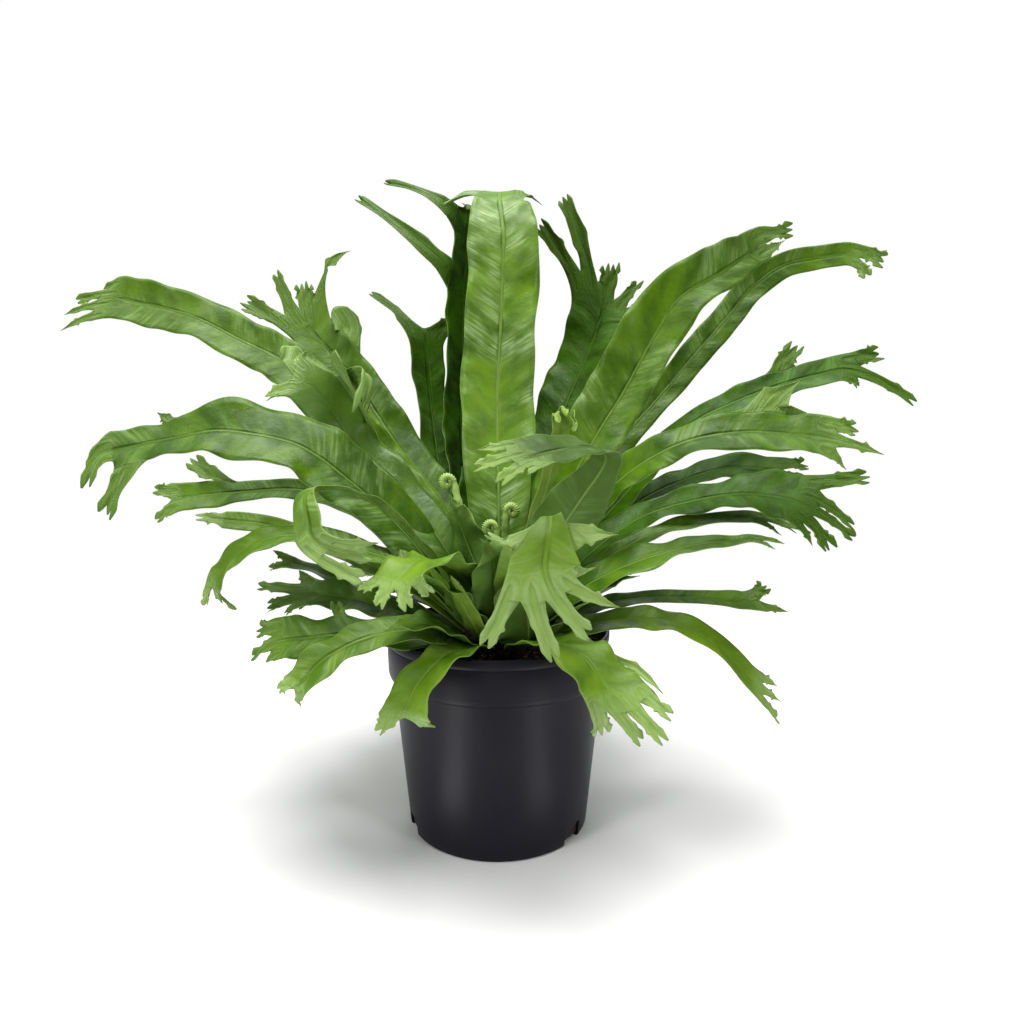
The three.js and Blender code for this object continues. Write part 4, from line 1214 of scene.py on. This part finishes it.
def make_crown(material):
    """A low dome clad in narrow brown scales."""
    low = math.asin((CROWN_SEAT - CROWN_CENTRE[2]) / CROWN_RADIUS)
    profile = [(0, CROWN_SEAT)]
    for k in range(CROWN_RINGS + 1):
        angle = lerp(low, math.pi / 2, k / CROWN_RINGS)
        radius = CROWN_RADIUS * math.cos(angle) if k < CROWN_RINGS else 0
        profile.append((radius, CROWN_CENTRE[2] + CROWN_RADIUS * math.sin(angle)))
    points, faces = turned_mesh(profile, 60)
    shades = [0.3] * len(points)
    for _ in range(CROWN_SCALES):
        height = rng.uniform(math.sin(low) + 0.02, 0.98)
        turn = rng.uniform(0, 2 * math.pi)
        flat = math.sqrt(1 - height ** 2)
        out = np.array([flat * math.cos(turn), flat * math.sin(turn), height])
        add_scale(points, faces, CROWN_CENTRE + out * (CROWN_RADIUS - 0.6), out)
        shades += [rng.uniform(0.2, 1)] * (len(points) - len(shades))
    new_piece("crown_scales", points, faces, ("crown", "crown"), [material],
              marks={"chip": shades})


def add_scale(points, faces, place, out):
    """A narrow pointed scale that leans up and away from the crown."""
    lean = unit(UP * 0.8 + out + rng.normal(size=3) * 0.25)
    side = unit(np.cross(lean, out) + rng.normal(size=3) * 0.1)
    thick = np.cross(side, lean)
    length, width = rng.uniform(*SCALE_LENGTH), rng.uniform(*SCALE_WIDTH)
    start = len(points)
    for share, wide in ((0, 1), (0.5, 0.8)):
        for x, y in ((1, 0), (0, 0.5), (-1, 0), (0, -0.5)):
            points.append(tuple(place + lean * length * share + side * width * wide * x
                                + thick * width * wide * y))
    points.append(tuple(place + lean * length + out * rng.uniform(0, 1.5)))
    faces.append((start + 3, start + 2, start + 1, start))
    for k in range(4):
        after = (k + 1) % 4
        faces.append((start + k, start + after, start + 4 + after, start + 4 + k))
        faces.append((start + 4 + k, start + 4 + after, start + 8))


# Room


def add_lamp(name, place, turn, size, power):
    lamp = bpy.data.lights.new(name, "AREA")
    lamp.shape = "RECTANGLE"
    lamp.size, lamp.size_y = size
    lamp.energy = power
    holder = add_object(name, lamp)
    holder.location = place
    holder.rotation_euler = turn
    return holder


def turn_towards(place, aim):
    """The turn of a lamp that stands at a place and shines at its aim."""
    x, y, z = np.subtract(aim, place)
    flat = math.hypot(x, y)
    return math.atan2(flat, -z), 0, math.atan2(-x, y) if flat > 1e-6 else 0


def add_strip(degrees, power):
    """A strip of light on the floor that points away from the pot and shows only in gloss."""
    turn = math.radians(degrees)
    place = (STRIP_REACH * math.sin(turn), -STRIP_REACH * math.cos(turn), STRIP_HEIGHT)
    strip = add_lamp("strip", place, (math.pi, 0, turn), STRIP_SIZE, power)
    strip.visible_camera = strip.visible_diffuse = strip.visible_transmission = False


def make_camera():
    lens = bpy.data.cameras.new("camera")
    lens.lens, lens.sensor_width = LENS, SENSOR
    camera = add_object("camera", lens)
    camera.location = [value * MM for value in CAMERA_PLACE]
    camera.rotation_euler = (math.radians(90 - CAMERA_PITCH), 0, 0)
    bpy.context.scene.camera = camera


def make_world():
    """A room that looks white and lights the plant only faintly from all round."""
    world = bpy.data.worlds.new("studio")
    world.use_nodes = True
    nodes, links = world.node_tree.nodes, world.node_tree.links
    background = nodes["Background"]
    background.inputs["Color"].default_value = (1, 1, 1, 1)
    seen = nodes.new("ShaderNodeLightPath")
    strength = nodes.new("ShaderNodeMapRange")
    strength.inputs["To Min"].default_value = ROOM_LIGHT
    strength.inputs["To Max"].default_value = 1.0
    links.new(seen.outputs["Is Camera Ray"], strength.inputs["Value"])
    links.new(strength.outputs[0], background.inputs["Strength"])
    bpy.context.scene.world = world
    bpy.context.scene.view_settings.view_transform = "Standard"


def make_floor():
    """A pale matte floor that fades out into the white room."""
    finish = Finish("studio_floor")
    place = finish.place((1, 1, 0))
    away = finish.node("VectorMath", {"operation": "LENGTH"}, {0: place}, output="Value")
    darker, paler = ((grey, grey, grey, 1) for grey in FLOOR_GREYS)
    paint = finish.node("BsdfPrincipled", None, {
        "Base Color": finish.mixed(finish.noise(place, 3, 2), darker, paler),
        "Roughness": 1.0, "Specular IOR Level": 0.0})
    clear = finish.node("BsdfTransparent")
    both = finish.node("MixShader", None, {0: away.between(*FLOOR_FADE), 1: paint, 2: clear})
    mesh = bpy.data.meshes.new("studio_floor")
    far = FLOOR_REACH
    mesh.from_pydata([(-far, -far, 0), (far, -far, 0), (far, far, 0), (-far, far, 0)], [],
                     [(0, 1, 2, 3)])
    mesh.materials.append(finish.shown(both))
    floor = add_object("studio_floor", mesh)
    floor.location = (0, 0, -FLOOR_DROP)


make_camera()
make_world()
make_floor()
for name, place, aim, size, power in LAMPS:
    add_lamp(name, place, turn_towards(place, aim), size, power)
for degrees, power in STRIPS:
    add_strip(degrees, power)

leaf_finishes = {green: [leaf_finish(green, True), leaf_finish(green, False)] for green in GREENS}
make_pot()
bark = bark_finish()
make_soil(bark)
make_crown(bark)
backs = [back_frond(*row, index) for index, row in enumerate(BACK_FRONDS)]
for order, frond in enumerate([*FRONDS, *backs, *INNER_BLADES]):
    frond.seed = order * SEED_STEP
    make_frond(frond, leaf_finishes)
stems = stem_finish()
for name, top, coil, stem, hand in CROZIERS:
    make_crozier(name, top, coil, stem, hand, stems)
